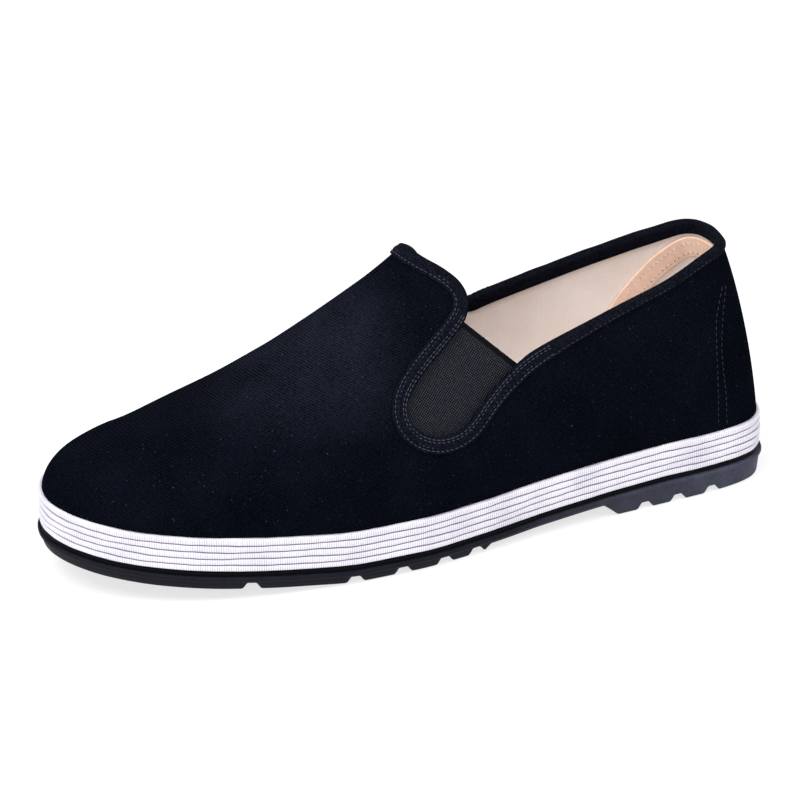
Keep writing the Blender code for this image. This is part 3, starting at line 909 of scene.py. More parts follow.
def curve_points(table, per_span=4):
    """Side-view points of a table of shares, as a smooth line through its rows."""
    rows = np.array([side_point(row) for row in table])
    ends = np.concatenate([[2 * rows[0] - rows[1]], rows, [2 * rows[-1] - rows[-2]]])
    points = []
    for a, b, c, d in zip(ends, ends[1:], ends[2:], ends[3:]):
        for t in np.arange(per_span) / per_span:
            points.append(0.5 * (2 * b + (c - a) * t + (2 * a - 5 * b + 4 * c - d) * t * t
                                 + (3 * b - a - 3 * c + d) * t ** 3))
    points.append(rows[-1])
    return np.array(points)


def shifted(line, distance):
    """A side-view line moved to its right, as it runs, by a distance."""
    along = np.gradient(line, axis=0)
    normal = np.stack([along[:, 1], -along[:, 0]], axis=1)
    return line + distance * normal / np.linalg.norm(normal, axis=1, keepdims=True)


def inside(points, polygon):
    """Which side-view points lie inside a polygon."""
    y, z = points[:, 0], points[:, 1]
    hit = np.zeros(len(points), bool)
    for (y1, z1), (y2, z2) in zip(polygon, np.roll(polygon, -1, axis=0)):
        if z1 != z2:
            crosses = ((z1 > z) != (z2 > z)) & (y < (y2 - y1) * (z - z1) / (z2 - z1) + y1)
            hit ^= crosses
    return hit


def distance_to(points, line):
    """Distance of side-view points from an open line."""
    best = np.full(len(points), np.inf)
    for a, b in zip(line, line[1:]):
        along = b - a
        t = np.clip(((points - a) @ along) / max(along @ along, 1e-18), 0, 1)
        best = np.minimum(best, np.linalg.norm(points - a - t[:, None] * along, axis=1))
    return best


def signed(points, line, closing):
    """Distance from a line, positive outside the area that the closing points shut."""
    polygon = np.concatenate([line, closing])
    return np.where(inside(points, polygon), -1, 1) * distance_to(points, line)


TAB_SKEW = 0.0045
TAB_HALF = 0.014
# Shares of the heel height and of the length where the skew starts, and how long it grows
SKEW_HEIGHT, SKEW_RISE = 0.86, 0.10
SKEW_ALONG, SKEW_REACH = 0.40, 0.03


def topline_view(points):
    """Side-view points as the topline cuts them: the tab's medial corner is a little shorter."""
    medial = np.clip(points[:, 0] / TAB_HALF, 0, 1)
    height = np.clip((points[:, 2] / HEEL_HEIGHT - SKEW_HEIGHT) / SKEW_RISE, 0, 1)
    ahead = np.clip((share(points[:, 1]) - SKEW_ALONG) / SKEW_REACH, 0, 1)
    back = TAB_SKEW * medial * height * ahead
    return np.column_stack([points[:, 1] - back, points[:, 2]])


side_view = last_points[:, 1:]
top_line = curve_points(TOPLINE)
sky = np.array([(top_line[-1][0], 2 * INSTEP_HEIGHT), (top_line[0][0], 2 * INSTEP_HEIGHT)])
from_top = signed(topline_view(last_points), top_line, sky)
print("the last reaches", round(float(from_top.min()) * 1000), "mm over the topline")

# %% The elastic's and the grip's lines


def gusset_outline(reach, lift=0.0):
    """The elastic seen from the side: the hollow, larger by reach, under its raised edge."""
    (y1, z1), (y2, z2) = [side_point(row) for row in ELASTIC_TOP]
    along = np.array([y2 - y1, z2 - z1]) / math.hypot(y2 - y1, z2 - z1)
    line = shifted(top_line, reach)
    below = (line[:, 0] - y1) * along[1] - (line[:, 1] - z1) * along[0] + lift
    middle = first = last = int(np.argmax(below))
    while below[first] > 0:
        first -= 1
    while below[last] > 0:
        last += 1

    def crossing(i, j):
        t = below[i] / (below[i] - below[j])
        return line[i] + t * (line[j] - line[i])

    return np.array([crossing(first, first + 1), *line[first + 1 : last], crossing(last - 1, last)])


def area_share(points, polygon):
    """Distance inside a polygon's edge, negative outside it."""
    around = np.concatenate([polygon, polygon[:1]])
    return np.where(inside(points, polygon), 1, -1) * distance_to(points, around)


gusset_line = gusset_outline(GUSSET_SEAM)
in_gusset = area_share(side_view, gusset_line)
grip_edge = curve_points(GRIP_LINE)
grip_floor = np.array([(grip_edge[0][0], grip_edge[-1][1])])
in_grip = -signed(side_view, shifted(grip_edge, GRIP_WIDTH / 2), grip_floor)
print("the elastic is", round(float(np.ptp(gusset_line[:, 0])) * 1000), "mm long in side view")

# %% Cutting and following a line


def chained(rows, faces, column, level):
    """Lines where a column of the rows has one value, as lists of interpolated rows."""
    value = rows[:, column] - level
    ends, cuts = {}, {}
    for face in faces:
        found = []
        for a, b in zip(face, face[1:] + face[:1]):
            if (value[a] > 0) != (value[b] > 0):
                key = (min(a, b), max(a, b))
                if key not in cuts:
                    a, b = key
                    cuts[key] = rows[a] + value[a] / (value[a] - value[b]) * (rows[b] - rows[a])
                found.append(key)
        if len(found) == 2:
            ends.setdefault(found[0], []).append(found[1])
            ends.setdefault(found[1], []).append(found[0])
    lines, left = [], dict(ends)
    while left:
        start = next((k for k in left if len(ends[k]) == 1), next(iter(left)))
        line, here = [start], start
        left.pop(start)
        while True:
            onward = [k for k in ends[here] if k in left]
            if not onward:
                break
            here = onward[0]
            left.pop(here)
            line.append(here)
        closed = len(line) > 2 and start in ends[here]
        lines.append((np.array([cuts[k] for k in line]), closed))
    return sorted(lines, key=lambda item: -len(item[0]))


def clipped(rows, faces, column, level=0.0):
    """The part of a surface where a column is above a level, cut cleanly along it."""
    value = rows[:, column] - level
    made, cuts, kept = list(rows), {}, []
    for face in faces:
        loop = []
        for a, b in zip(face, face[1:] + face[:1]):
            if value[a] > 0:
                loop.append(a)
            if (value[a] > 0) != (value[b] > 0):
                key = (min(a, b), max(a, b))
                if key not in cuts:
                    low, high = key
                    t = value[low] / (value[low] - value[high])
                    cuts[key] = len(made)
                    made.append(rows[low] + t * (rows[high] - rows[low]))
                loop.append(cuts[key])
        if len(loop) > 2:
            kept.append(loop)
    used = sorted({corner for face in kept for corner in face})
    new = {old: k for k, old in enumerate(used)}
    return np.array([made[i] for i in used]), [[new[c] for c in face] for face in kept]


def walled(name, rows, faces, outer, inner, material, uv=None):
    """A cloth wall between two heights over the last, closed along its free edges."""
    points, normals = rows[:, 0:3], rows[:, 3:6]
    outer = np.broadcast_to(outer, len(rows))[:, None]
    inner = np.broadcast_to(inner, len(rows))[:, None]
    count = len(rows)
    edges = dict.fromkeys((a, b) for face in faces for a, b in zip(face, face[1:] + face[:1]))
    rim = [(a, b) for a, b in edges if (b, a) not in edges]
    all_faces = list(faces) + [[c + count for c in face[::-1]] for face in faces]
    all_faces += [[b, a, a + count, b + count] for a, b in rim]
    both = np.concatenate([points + normals * outer, points + normals * inner])
    double_uv = None if uv is None else np.concatenate([uv, uv])
    return mesh_object(name, both, all_faces, material, double_uv)


# Columns of a row: place, normal, then the signed distances
FROM_TOP, IN_GUSSET, IN_GRIP = 6, 7, 8
last_rows = np.column_stack([last_points, last_normals, from_top, in_gusset, in_grip])
edge_line, edge_closed = chained(last_rows, last_faces, FROM_TOP, 0.0)[0]
print("the topline runs through", len(edge_line), "points, closed:", edge_closed)

# %% [markdown]
# ## The upper and its lining
#
# The upper is black twill with a natural cotton lining, glued and sewn as one wall of
# 1.6 mm. They are two bodies here, because the eye sees two cloths. The creases are few: the
# cloth is new and stretched. A shallow hollow runs down from the hollow's front corner, and
# soft ripples lie over the toe and by the heel, listed in the shoe's own sizes.

# %% Creases in the shoe's own sizes
CLOTH_SHARE = 0.55
CREASE_FADE = 0.012
# Each crease: ends (along, height share) in side view, half width in mm, depth in mm
CREASES = (
    ((0.585, 0.50), (0.60, 0.30), 5.0, -0.35),
    ((0.44, 0.50), (0.40, 0.25), 6.0, -0.30),
    ((0.36, 0.62), (0.34, 0.32), 7.0, 0.25),
    ((0.20, 0.70), (0.22, 0.35), 7.0, -0.30),
    ((0.14, 0.62), (0.16, 0.35), 5.0, 0.20),
    ((0.64, 0.62), (0.70, 0.40), 8.0, 0.25),
    ((0.80, 0.42), (0.86, 0.30), 7.0, -0.20),
)


def crease_height(side_points):
    """Height of the soft troughs and ridges at side-view points, in metres."""
    made = np.zeros(len(side_points))
    for start, end, half_mm, depth_mm in CREASES:
        a, b = np.array(side_point(start)), np.array(side_point(end))
        along = b - a
        t = np.clip(((side_points - a) @ along) / (along @ along), 0, 1)
        away = np.linalg.norm(side_points - a - t[:, None] * along, axis=1)
        fade = np.sin(np.pi * np.clip(t, 0.05, 0.95)) ** 0.5
        made += depth_mm / 1000 * fade * np.exp(-((away * 1000 / half_mm) ** 2))
    return made


# %% The upper and the lining


def make_upper():
    """The black twill outside and the natural lining inside, a hair apart."""

    def cut_at(level):
        rows, faces = clipped(last_rows, last_faces, FROM_TOP, level)
        press = crease_height(rows[:, 1:3]) * np.clip(rows[:, FROM_TOP] / CREASE_FADE, 0, 1)
        return rows, faces, press, np.minimum(press, 0)

    between_them = -WALL * CLOTH_SHARE
    rows, faces, press, dip = cut_at(TAPE_THICKNESS + CLEARANCE)
    cloth = walled("upper_twill", rows, faces, np.minimum(press, CLEARANCE),
                   between_them + dip, TWILL)
    place_piece(cloth, "black_twill", "upper")
    rows, faces, press, dip = cut_at(2 * TAPE_THICKNESS)
    lining = walled("upper_lining", rows, faces, between_them - 0.0001 + dip, -WALL + dip, LINING)
    return place_piece(lining, "beige_lining", "upper")


make_upper()

# %% [markdown]
# ## Strips that follow a line
#
# The bias tape and the leather grip are flat strips sewn along a line. Each is swept: the
# line is walked in even steps, a stepping walk over the last's surface gives the places
# beside it, and the strip's section is laid over them. Its UV map runs along the strip.

# %% Sweeping a strip
STRIP_STEP = 0.0009
WALK = 0.0006
LONGEST_WALK = 0.0012


def soft_lines(grid, closed, times=2):
    """Smooths lines of points along their run; open ones keep their ends."""
    for _ in range(times):
        if closed:
            grid = (np.roll(grid, 1, axis=0) + 2 * grid + np.roll(grid, -1, axis=0)) / 4
        else:
            grid[1:-1] = (grid[:-2] + 2 * grid[1:-1] + grid[2:]) / 4
    return grid


def even_line(rows, closed, step=STRIP_STEP, soften=3):
    """A line's places and normals at even steps, with its small corners smoothed."""
    points = rows[:, :6]
    if closed:
        points = np.concatenate([points, points[:1]])
    steps = np.linalg.norm(np.diff(points[:, :3], axis=0), axis=1)
    reach = np.concatenate([[0], np.cumsum(steps)])
    count = int(round(reach[-1] / step))
    at = np.linspace(0, reach[-1], count + 1)
    even = np.stack([np.interp(at, reach, points[:, k]) for k in range(6)], axis=1)
    even = soft_lines(even[:-1] if closed else even, closed, soften)
    even[:, 3:6] /= np.linalg.norm(even[:, 3:6], axis=1, keepdims=True)
    return even, at[: len(even)]


def beside(even, closed, widths, sign=1.0):
    """Places and normals beside a line, at each width, walked over the last."""
    if closed:
        along = np.roll(even[:, :3], -1, axis=0) - np.roll(even[:, :3], 1, axis=0)
    else:
        along = np.gradient(even[:, :3], axis=0)
    across = np.cross(even[:, 3:6], along) * sign
    across /= np.linalg.norm(across, axis=1, keepdims=True)
    order = sorted(set(widths) | {0.0})
    found = {}
    for direction in (1, -1):
        place, normal, heading = even[:, :3].copy(), even[:, 3:6].copy(), across * direction
        here = 0.0
        found[0.0] = (place.copy(), normal.copy())
        for width in [w for w in order[:: direction] if w * direction > 0]:
            stretch = abs(width) - here
            parts = max(1, int(math.ceil(stretch / LONGEST_WALK)))
            for _ in range(parts):
                ahead = place + heading * (stretch / parts)
                for i, point in enumerate(ahead):
                    spot, facing, _, _ = last_tree.find_nearest(Vector(point))
                    place[i] = spot
                    normal[i] = facing
                heading = heading - (heading * normal).sum(1, keepdims=True) * normal
                heading /= np.linalg.norm(heading, axis=1, keepdims=True)
            here = abs(width)
            found[width] = (place.copy(), normal.copy())
    return found


def walked(even, closed, low, high, sign=1.0):
    """Places and normals beside a line at even widths from low to high."""
    widths = np.arange(math.floor(low / WALK), math.ceil(high / WALK) + 1) * WALK
    return beside(even, closed, [round(float(width), 6) for width in widths], sign)


def at_width(found, width):
    """Places and normals at a width, or at one width for each point of the line."""
    steps = np.array(sorted(found))
    width = np.broadcast_to(width, len(found[0.0][0]))
    k = np.clip(np.searchsorted(steps, width, side="right") - 1, 0, len(steps) - 2)
    part = ((width - steps[k]) / (steps[k + 1] - steps[k]))[:, None]
    both, row = [], np.arange(len(width))
    for kind in (0, 1):
        stack = np.stack([found[step][kind] for step in steps])
        both.append(stack[k, row] * (1 - part) + stack[k + 1, row] * part)
    return both


def strip(name, even, distance, closed, section, material, sign=1.0):
    """A strip with a closed section of (width, height) pairs laid over the last.

    A width or a height is a number, or an array with one for each point of the line.
    """
    widths = np.concatenate([np.ravel(width) for width, _ in section])
    found = walked(even, closed, float(widths.min()), float(widths.max()), sign)
    count, around = len(even), len(section)
    grid = np.zeros((count, around, 3))
    for k, (width, height) in enumerate(section):
        place, normal = at_width(found, width)
        lift = np.broadcast_to(height, count)[:, None]
        grid[:, k] = place + normal * lift
    grid = soft_lines(grid, closed)
    faces = []
    for i in range(count if closed else count - 1):
        j = (i + 1) % count
        for k in range(around):
            m = (k + 1) % around
            faces.append([i * around + k, i * around + m, j * around + m, j * around + k])
    if not closed:
        faces.append(list(range(around))[::-1])
        faces.append([(count - 1) * around + k for k in range(around)])
    middle = np.array([(np.mean(width), np.mean(height)) for width, height in section])
    run = np.cumsum(np.linalg.norm(np.diff(middle, axis=0), axis=1))
    uv = np.stack([np.repeat(distance, around), np.tile([0.0, *run], count)], axis=1)
    points = grid.reshape(-1, 3)
    volume = sum(np.dot(points[f[0]], np.cross(points[f[1]], points[f[2]])) for f in faces)
    if volume < 0:
        faces = [face[::-1] for face in faces]
    return mesh_object(name, points, faces, material, uv)


# %% [markdown]
# The tape is folded over the upper's edge: a leg outside, a round fold and a leg inside.
# Where the elastic is let in, its inner leg is pressed thin between the upper and the
# elastic. The outer leg ends in a turned hem, which is why it stands a little proud.

# %% The bias tape
FOLD = 0.0017
FOLD_STEPS = (0.5, 1.0, 1.5, 2.0, 2.5)
# The outer leg's width from the collar to the hollow, at shares of the length
LEG_SHARES = (0.20, 0.28, 0.37)
LEG_WIDTHS = (0.0038, 0.0044, TAPE_WIDTH)
# The inner leg's width from behind the heel on
INNER_SHARES = (0.03, 0.13)
INNER_WIDTHS = (0.0046, TAPE_WIDTH)
# Share of the way from the fold to the leg's edge, and the height of its soft roll there
TAPE_ROLL = (
    (0.74, -0.00010), (0.58, 0.00012), (0.42, 0.00024), (0.26, 0.00012), (0.10, -0.00006),
    (0.0, 0.0),
)
# Length divisor, size and start of the small waves along the tape, in metres
TAPE_WAVES = ((0.0031, 0.00008, 0.0), (0.0017, 0.00006, 1.0))
OUTER_SKIN = CLEARANCE + TAPE_THICKNESS
INNER_SKIN = WALL + CLEARANCE + TAPE_THICKNESS
edge_even, edge_run = even_line(edge_line, edge_closed)


def tape_sign():
    """1 or -1, so that the strip's width runs down into the upper."""
    found = beside(edge_even, edge_closed, [0.002])[0.002][0]
    heel = int(np.argmin(edge_even[:, 1]))
    return 1.0 if found[heel, 2] < edge_even[heel, 2] else -1.0


SIGN = tape_sign()


def leg_width(even):
    """Width of the tape's outer leg, which is narrower along the collar."""
    return np.interp(share(even[:, 1]), LEG_SHARES, LEG_WIDTHS)


def inner_width(even):
    """Width of the tape's inner leg, which is narrower behind the heel."""
    return np.interp(share(even[:, 1]), INNER_SHARES, INNER_WIDTHS)


def press_near_elastic(even):
    """How far the tape's inner leg is pressed thin at each point, from 0 to 1."""
    near = area_share(even[:, 1:3], gusset_outline(TAPE_WIDTH + CLEARANCE, 0.003))
    return np.clip(near / 0.002 + 0.5, 0, 1)


def make_tape():
    """The folded bias tape round the whole opening."""
    inner = -INNER_SKIN + press_near_elastic(edge_even) * (INNER_SKIN - WALL + 0.0001)
    wave = sum(size * np.sin(edge_run / long + turn) for long, size, turn in TAPE_WAVES)
    outer = OUTER_SKIN + wave
    wide = leg_width(edge_even)
    section = [
        (wide, 0.00005), (wide + 0.0001, 0.6 * outer), (wide - 0.0003, 0.95 * outer),
        (wide - 0.0007, outer - 0.00004),
    ]
    section += [(FOLD + part * (wide - FOLD), outer + lift) for part, lift in TAPE_ROLL]
    middle, half = (outer + inner) / 2, (outer - inner) / 2
    for step in FOLD_STEPS:
        angle = step / 3 * math.pi
        width = max(FOLD * (1 - math.sin(angle)), 0.0)
        section.append((width, middle + half * math.cos(angle)))
    deep = inner_width(edge_even)
    section += [
        (FOLD, inner), (deep * 0.55, inner), (deep, inner),
        (deep + 0.0001, np.minimum(inner + 0.0003, -WALL)), (deep, -WALL + 0.0002),
    ]
    made = strip("bias_tape", edge_even, edge_run, edge_closed, section, TAPE, SIGN)
    return place_piece(made, "black_tape", "topline_tape")


make_tape()
print("the tape is", round(float(edge_run[-1]) * 1000), "mm long")

# %% [markdown]
# ## The elastic
#
# A piece of woven elastic is sewn behind the hollow on either side. Its weave follows its
# straight upper edge, so its UV map is turned to that edge. The edge itself is the woven
# selvedge, a narrow smooth band.

# %% The elastic panels


def elastic_uv(side_points):
    """Metres along and below the elastic's upper edge, for side-view points."""
    start, end = np.array(side_point(ELASTIC_TOP[0])), np.array(side_point(ELASTIC_TOP[1]))
    along = (end - start) / np.linalg.norm(end - start)
    below = np.array([along[1], -along[0]])
    return np.stack([(side_points - start) @ along, (side_points - start) @ below], axis=1)


def make_gusset(side, way):
    """One elastic panel behind the wall."""
    rows = np.column_stack([last_rows, way * last_rows[:, 0]])
    rows, faces = clipped(rows, last_faces, IN_GUSSET)
    rows, faces = clipped(rows, faces, rows.shape[1] - 1)
    uv = elastic_uv(rows[:, 1:3])
    outer = -WALL - CLEARANCE
    made = walled(f"elastic_{side}", rows, faces, outer, outer - GUSSET_THICKNESS, ELASTIC, uv)
    return place_piece(made, "black_elastic", f"gusset_{side}")


for side, way in (("lateral", -1.0), ("medial", 1.0)):
    make_gusset(side, way)

# %% [markdown]
# ## The heel grip
#
# Inside the heel a strip of tan leather is sewn over the lining as an arch, so that the heel
# does not wear through the cloth. It is one strip swept round the heel.

# %% The heel grip
GRIP_UNDER = -WALL - CLEARANCE
grip_line, grip_closed = chained(last_rows, last_faces, IN_GRIP, 0.0)[0]
grip_even, grip_run = even_line(grip_line, grip_closed, soften=6)


def make_grip():
    """The leather arch, with softly rounded edges."""
    half = GRIP_WIDTH / 2
    low = GRIP_UNDER - GRIP_THICKNESS
    section = [
        (half, GRIP_UNDER), (half, low + 0.0003), (half - 0.0003, low), (half / 2, low - 0.0001),
        (0.0, low - 0.0001), (-half / 2, low - 0.0001), (-half + 0.0003, low),
        (-half, low + 0.0003), (-half, GRIP_UNDER), (0.0, GRIP_UNDER),
    ]
    made = strip("leather_grip", grip_even, grip_run, grip_closed, section, LEATHER)
    return place_piece(made, "tan_leather", "heel_grip")


make_grip()
print("the grip is", round(float(grip_run[-1]) * 1000), "mm long")

# %% [markdown]
# ## The insole
#
# A sock of the same natural cloth lies on the top ply. It is slightly crowned, since it is
# glued over the plies' turned edges.

# %% The insole
INSOLE_STATIONS = 160
# The rounded edge: how far in, and how high over the top ply
INSOLE_EDGE = (
    (0.0, 0.0), (0.0, INSOLE_THICKNESS - 0.0008), (0.0004, INSOLE_THICKNESS - 0.0002),
    (0.0012, INSOLE_THICKNESS),
)


def make_insole():
    """The insole cloth, rounded over at its edge."""
    inset = PLY_INSET + UPPER_INSET + WALL + GRIP_THICKNESS + 3 * CLEARANCE
    rings = [ring_at(outline(INSOLE_STATIONS, inset + further), over_ply(PLY_COUNT, lift))
             for further, lift in INSOLE_EDGE]
    made = stack_rings("insole_cloth", rings, SOCK, over_ply(PLY_COUNT),
                       over_ply(PLY_COUNT, INSOLE_THICKNESS), across=10)
    return place_piece(made, "beige_lining", "insole")


make_insole()

# %% [markdown]
# ## Stitches
#
# A lockstitch shows as a row of short arched threads that dive into the cloth at both ends.
# Hundreds of them follow the seams, which is the work of Geometry Nodes: a seam comes in as
# a line of points that carry the surface's normal, is resampled at the stitch pitch, and one
# small arched thread is set on each point, along the seam and out from the cloth.

# %% The stitch tree


def stitch_tree():
    """A node group that sews small threads along a line of points."""
    tree = bpy.data.node_groups.new("row of stitches", "GeometryNodeTree")
    new = tree.interface.new_socket
    new("Geometry", in_out="INPUT", socket_type="NodeSocketGeometry")
    for name, size in (("Pitch", 0.003), ("Length", 0.002), ("Thickness", 0.0004),
                       ("Arch", 0.0004), ("Unevenness", 0.06)):
        new(name, in_out="INPUT", socket_type="NodeSocketFloat").default_value = size
    new("Seed", in_out="INPUT", socket_type="NodeSocketInt").default_value = 3
    new("Thread", in_out="INPUT", socket_type="NodeSocketMaterial")
    new("Geometry", in_out="OUTPUT", socket_type="NodeSocketGeometry")
    given = add(tree, "NodeGroupInput").outputs
    half = math_node(tree, "MULTIPLY", given["Length"], 0.5)
    back = math_node(tree, "MULTIPLY", half, -1.0)
    sunk = math_node(tree, "MULTIPLY", given["Thickness"], -0.9)
    start = add(tree, "ShaderNodeCombineXYZ", {"X": back, "Z": sunk}).outputs[0]
    end = add(tree, "ShaderNodeCombineXYZ", {"X": half, "Z": sunk}).outputs[0]
    top = add(tree, "ShaderNodeCombineXYZ", {"Z": given["Arch"]}).outputs[0]
    arch = add(tree, "GeometryNodeCurveQuadraticBezier",
               {"Resolution": 4, "Start": start, "Middle": top, "End": end})
    radius = math_node(tree, "MULTIPLY", given["Thickness"], 0.5)
    circle = add(tree, "GeometryNodeCurvePrimitiveCircle", {"Resolution": 6, "Radius": radius})
    thread = add(tree, "GeometryNodeCurveToMesh", {
        "Curve": arch.outputs[0], "Profile Curve": circle.outputs["Curve"], "Fill Caps": True})
    seam = add(tree, "GeometryNodeMeshToCurve", {"Mesh": given["Geometry"]})
    even = add(tree, "GeometryNodeResampleCurve",
               {"Curve": seam.outputs[0], "Length": given["Pitch"]}, mode="LENGTH")
    facing = add(tree, "GeometryNodeInputNamedAttribute", {"Name": "facing"},
                 data_type="FLOAT_VECTOR")
    tangent = add(tree, "GeometryNodeInputTangent")
    lie = add(tree, "FunctionNodeAlignRotationToVector", {"Vector": tangent.outputs[0]}, axis="X")
    stand = add(tree, "FunctionNodeAlignRotationToVector",
                {"Rotation": lie.outputs[0], "Vector": facing.outputs["Attribute"]},
                axis="Z", pivot_axis="X")
    low = math_node(tree, "SUBTRACT", 1.0, given["Unevenness"])
    high = math_node(tree, "ADD", 1.0, given["Unevenness"])
    size = add(tree, "FunctionNodeRandomValue", {2: low, 3: high, "Seed": given["Seed"]},
               data_type="FLOAT")
    sewn = add(tree, "GeometryNodeInstanceOnPoints", {
        "Points": even.outputs[0], "Instance": thread.outputs[0],
        "Rotation": stand.outputs[0], "Scale": size.outputs[1]})
    real = add(tree, "GeometryNodeRealizeInstances", {0: sewn.outputs[0]})
    done = add(tree, "GeometryNodeSetMaterial",
               {"Geometry": real.outputs[0], "Material": given["Thread"]})
    add(tree, "NodeGroupOutput", {0: done.outputs[0]})
    return tree


STITCHES = stitch_tree()
print("the tree has", len(STITCHES.nodes), "nodes")

# %% Sewing a seam


def sew(name, lines, thread, slot, **sizes):
    """Stitches along lines of (places, normals, closed), as one plain mesh."""
    points, edges, facing = [], [], []
    for places, normals, closed in lines:
        first, count = len(points), len(places)
        points += list(map(tuple, places))
        facing.append(normals)
        edges += [(first + i, first + i + 1) for i in range(count - 1)]
        if closed:
            edges.append((first + count - 1, first))
    mesh = bpy.data.meshes.new(name)
    mesh.from_pydata(points, edges, [])
    layer = mesh.attributes.new("facing", "FLOAT_VECTOR", "POINT")
    layer.data.foreach_set("vector", np.concatenate(facing).astype(np.float32).ravel())
    guide = bpy.data.objects.new(name, mesh)
    bpy.context.scene.collection.objects.link(guide)
    modifier = guide.modifiers.new("stitches", "NODES")
    modifier.node_group = STITCHES
    named = {item.name: item.identifier for item in STITCHES.interface.items_tree
             if item.in_out == "INPUT"}
    modifier[named["Thread"]] = thread
    for key, value in sizes.items():
        modifier[named[key.title()]] = value
    ready = guide.evaluated_get(bpy.context.evaluated_depsgraph_get())
    sewn = bpy.data.meshes.new_from_object(ready)
    sewn.name = name
    guide.modifiers.clear()
    guide.data = sewn
    sewn.shade_smooth()
    return place_piece(guide, slot)


# %% Seams of the tape and of the grip
SHORTEST_RUN = 8
# Where the tape's collar ends along the length, and where its hollows end in height
COLLAR_END, HOLLOW_TOP = 0.345, 0.90
# Distances of the seams from the outer leg's edge, and from the fold beside the hollows
EDGE_ROWS = (0.0010, 0.0021)
FOLD_ROWS = (0.0011, 0.0021)
COLLAR_ROW = 0.0008
SEAM_LIFT = 0.00003


def runs_of(mask):
    """Runs of neighbouring points of a closed line where a mask holds."""
    count = len(mask)
    first = next(i for i in range(count) if mask[i] and not mask[i - 1])
    runs, run = [], []
    for i in [(first + k) % count for k in range(count)]:
        if mask[i]:
            run.append(i)
        elif run:
            runs.append(run)
            run = []
    return [run for run in runs + [run] if len(run) > SHORTEST_RUN]


edge_walk = walked(edge_even, edge_closed, 0.0, TAPE_WIDTH, SIGN)
leg = leg_width(edge_even)
edge_along, edge_high = share(edge_even[:, 1]), edge_even[:, 2] / HEEL_HEIGHT
at_collar = edge_along < COLLAR_END
at_hollow = (edge_along > COLLAR_END) & (edge_high < HOLLOW_TOP)


def tape_row(width, mask):
    """Seams on the tape's outer face, at a width, where a mask holds."""
    place, normal = at_width(edge_walk, width)
    place = soft_lines(place + normal * (OUTER_SKIN + SEAM_LIFT), edge_closed, 4)
    return [(place[run], normal[run], False) for run in runs_of(mask)]


tape_seams = [run for row in EDGE_ROWS for run in tape_row(leg - row, ~at_collar)]
tape_seams += [run for row in FOLD_ROWS for run in tape_row(row, at_hollow)]
sew("tape_stitches", tape_seams, DARK_THREAD, "black_tape",
    pitch=0.0019, length=0.0012, thickness=0.0003, arch=0.0003)
sew("collar_stitches", tape_row(leg - COLLAR_ROW, at_collar),
    BLACK_THREAD, "black_tape", pitch=0.0021, length=0.0013, thickness=0.00025, arch=0.0003)

GRIP_ROWS = (-GRIP_WIDTH * 0.29, GRIP_WIDTH * 0.20)
GRIP_PITCH = 0.0021
grip_top = GRIP_UNDER - GRIP_THICKNESS - 0.0001
grip_walk = walked(grip_even, grip_closed, -GRIP_WIDTH / 2, GRIP_WIDTH / 2)


def grip_row(width, skip):
    """A seam on the grip's face, whose normal points into the shoe."""
    place, normal = at_width(grip_walk, width)
    place = soft_lines(place + normal * grip_top, grip_closed, 4)
    return place[skip:], -normal[skip:], False


# Dark dots of black thread, half a pitch from the threads, are painted shade in the needle's holes
sew("grip_stitches", [grip_row(width, 0) for width in GRIP_ROWS],
    PALE_THREAD, "tan_leather", pitch=GRIP_PITCH, length=0.0014, thickness=0.0004, arch=0.0004)
sew("grip_needle_hole_shade", [grip_row(width, 1) for width in GRIP_ROWS],
    BLACK_THREAD, "tan_leather", pitch=GRIP_PITCH, length=0.0009, thickness=0.0006, arch=0.00025)

# %% [markdown]
# The counter inside the heel is held by two seams that run down the outside, from under the
# tape almost to the sole. They are drawn in side view and cast onto the last.

# %% Heel seams
# Share of the length and of the heel height, from the top down; the heel is symmetrical
HEEL_ROWS = (
    ((0.080, 0.823), (0.088, 0.763), (0.094, 0.703), (0.096, 0.569), (0.095, 0.431),
     (0.094, 0.300)),
    ((0.073, 0.823), (0.081, 0.733), (0.086, 0.634), (0.087, 0.542), (0.083, 0.428),
     (0.080, 0.285)),
)
HEEL_SEAM_LIFT = 0.00008


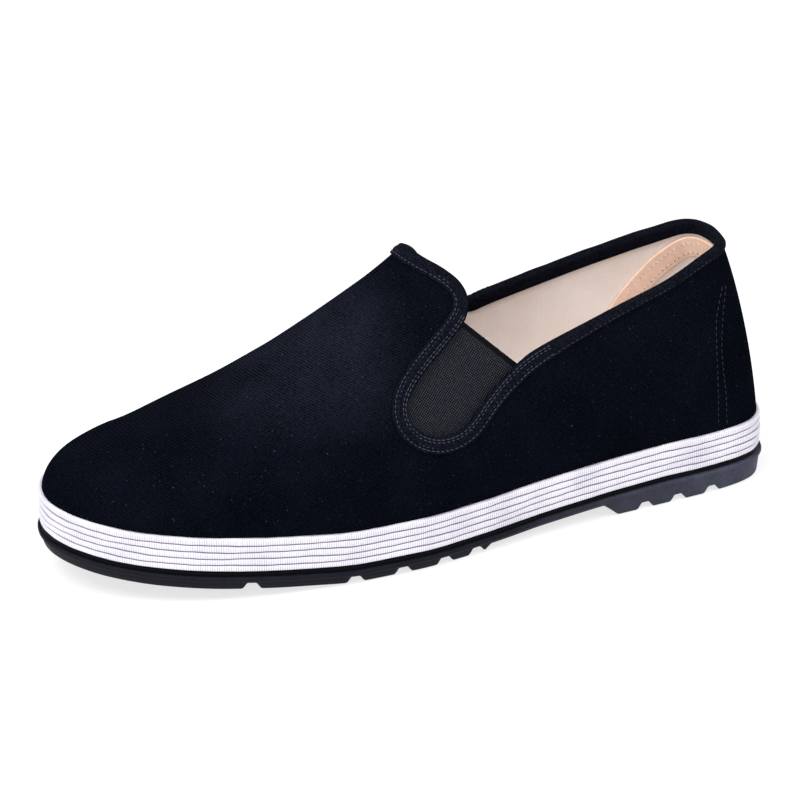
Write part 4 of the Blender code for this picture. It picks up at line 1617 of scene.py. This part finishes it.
def cast_row(table, side):
    """A seam drawn in side view, found on the last by rays from the side."""
    places, normals = [], []
    inwards = Vector((-side, 0, 0))
    for y, z in curve_points(table, per_span=8):
        spot, facing, _, _ = last_tree.ray_cast(Vector((side * BALL_WIDTH, y, z)), inwards)
        if spot is not None:
            places.append(spot + facing * HEEL_SEAM_LIFT)
            normals.append(facing)
    return np.array(places), np.array(normals), False


sew("heel_stitches", [cast_row(table, side) for table in HEEL_ROWS for side in (-1, 1)],
    HEEL_THREAD, "black_twill", pitch=0.0024, length=0.0015, thickness=0.00022, arch=0.00025)

# %% [markdown]
# ## The studio
#
# A pale floor and three soft lights: the key over the toe, one that looks into the shoe and
# a weak one from the toe's side. The photograph is cut out on white and has no shadow, so the
# surroundings are white, and the floor glows so that only a faint shadow is left.

# %% Floor and lights


FLOOR_HALF = 6.0
FLOOR_LEVEL = -0.0002


def make_floor():
    """A wide plain floor, just under the tread."""
    corners = ((-1, -1), (1, -1), (1, 1), (-1, 1))
    points = [(x * FLOOR_HALF, y * FLOOR_HALF, FLOOR_LEVEL) for x, y in corners]
    made, _, _ = finish_of("white paper floor", 0.9, specular_ior_level=0.1,
                           base_color=linear("9a9a9b"), emission_color=linear("ffffff"),
                           emission_strength=0.72)
    floor = mesh_object("floor", points, [(0, 1, 2, 3)], made, sharp=None)


def area_light(name, place, target, size, power):
    """A square soft light that points at a target."""
    made = bpy.data.objects.new(name, bpy.data.lights.new(name, "AREA"))
    made.data.size = size
    made.data.energy = power
    made.location = place
    made.rotation_euler = (Vector(target) - Vector(place)).to_track_quat("-Z", "Y").to_euler()
    bpy.context.scene.collection.objects.link(made)


def make_world(strength):
    world = bpy.data.worlds.new("studio")
    world.use_nodes = True
    sky = world.node_tree.nodes["Background"]
    sky.inputs["Color"].default_value = linear("ffffff")
    sky.inputs["Strength"].default_value = strength
    bpy.context.scene.world = world


make_floor()
make_world(0.62)
area_light("key", (-0.35, 0.75, 1.2), (0, 0.04, 0.03), 0.8, 16)
area_light("into_the_shoe", (-0.75, -0.55, 1.15), (0, -0.06, 0.05), 0.6, 8)
area_light("toe_side", (-0.9, 0.9, 0.5), (0, 0.05, 0.03), 0.6, 3)
# A picture on white shows colours as they are
bpy.context.scene.view_settings.view_transform = "Standard"
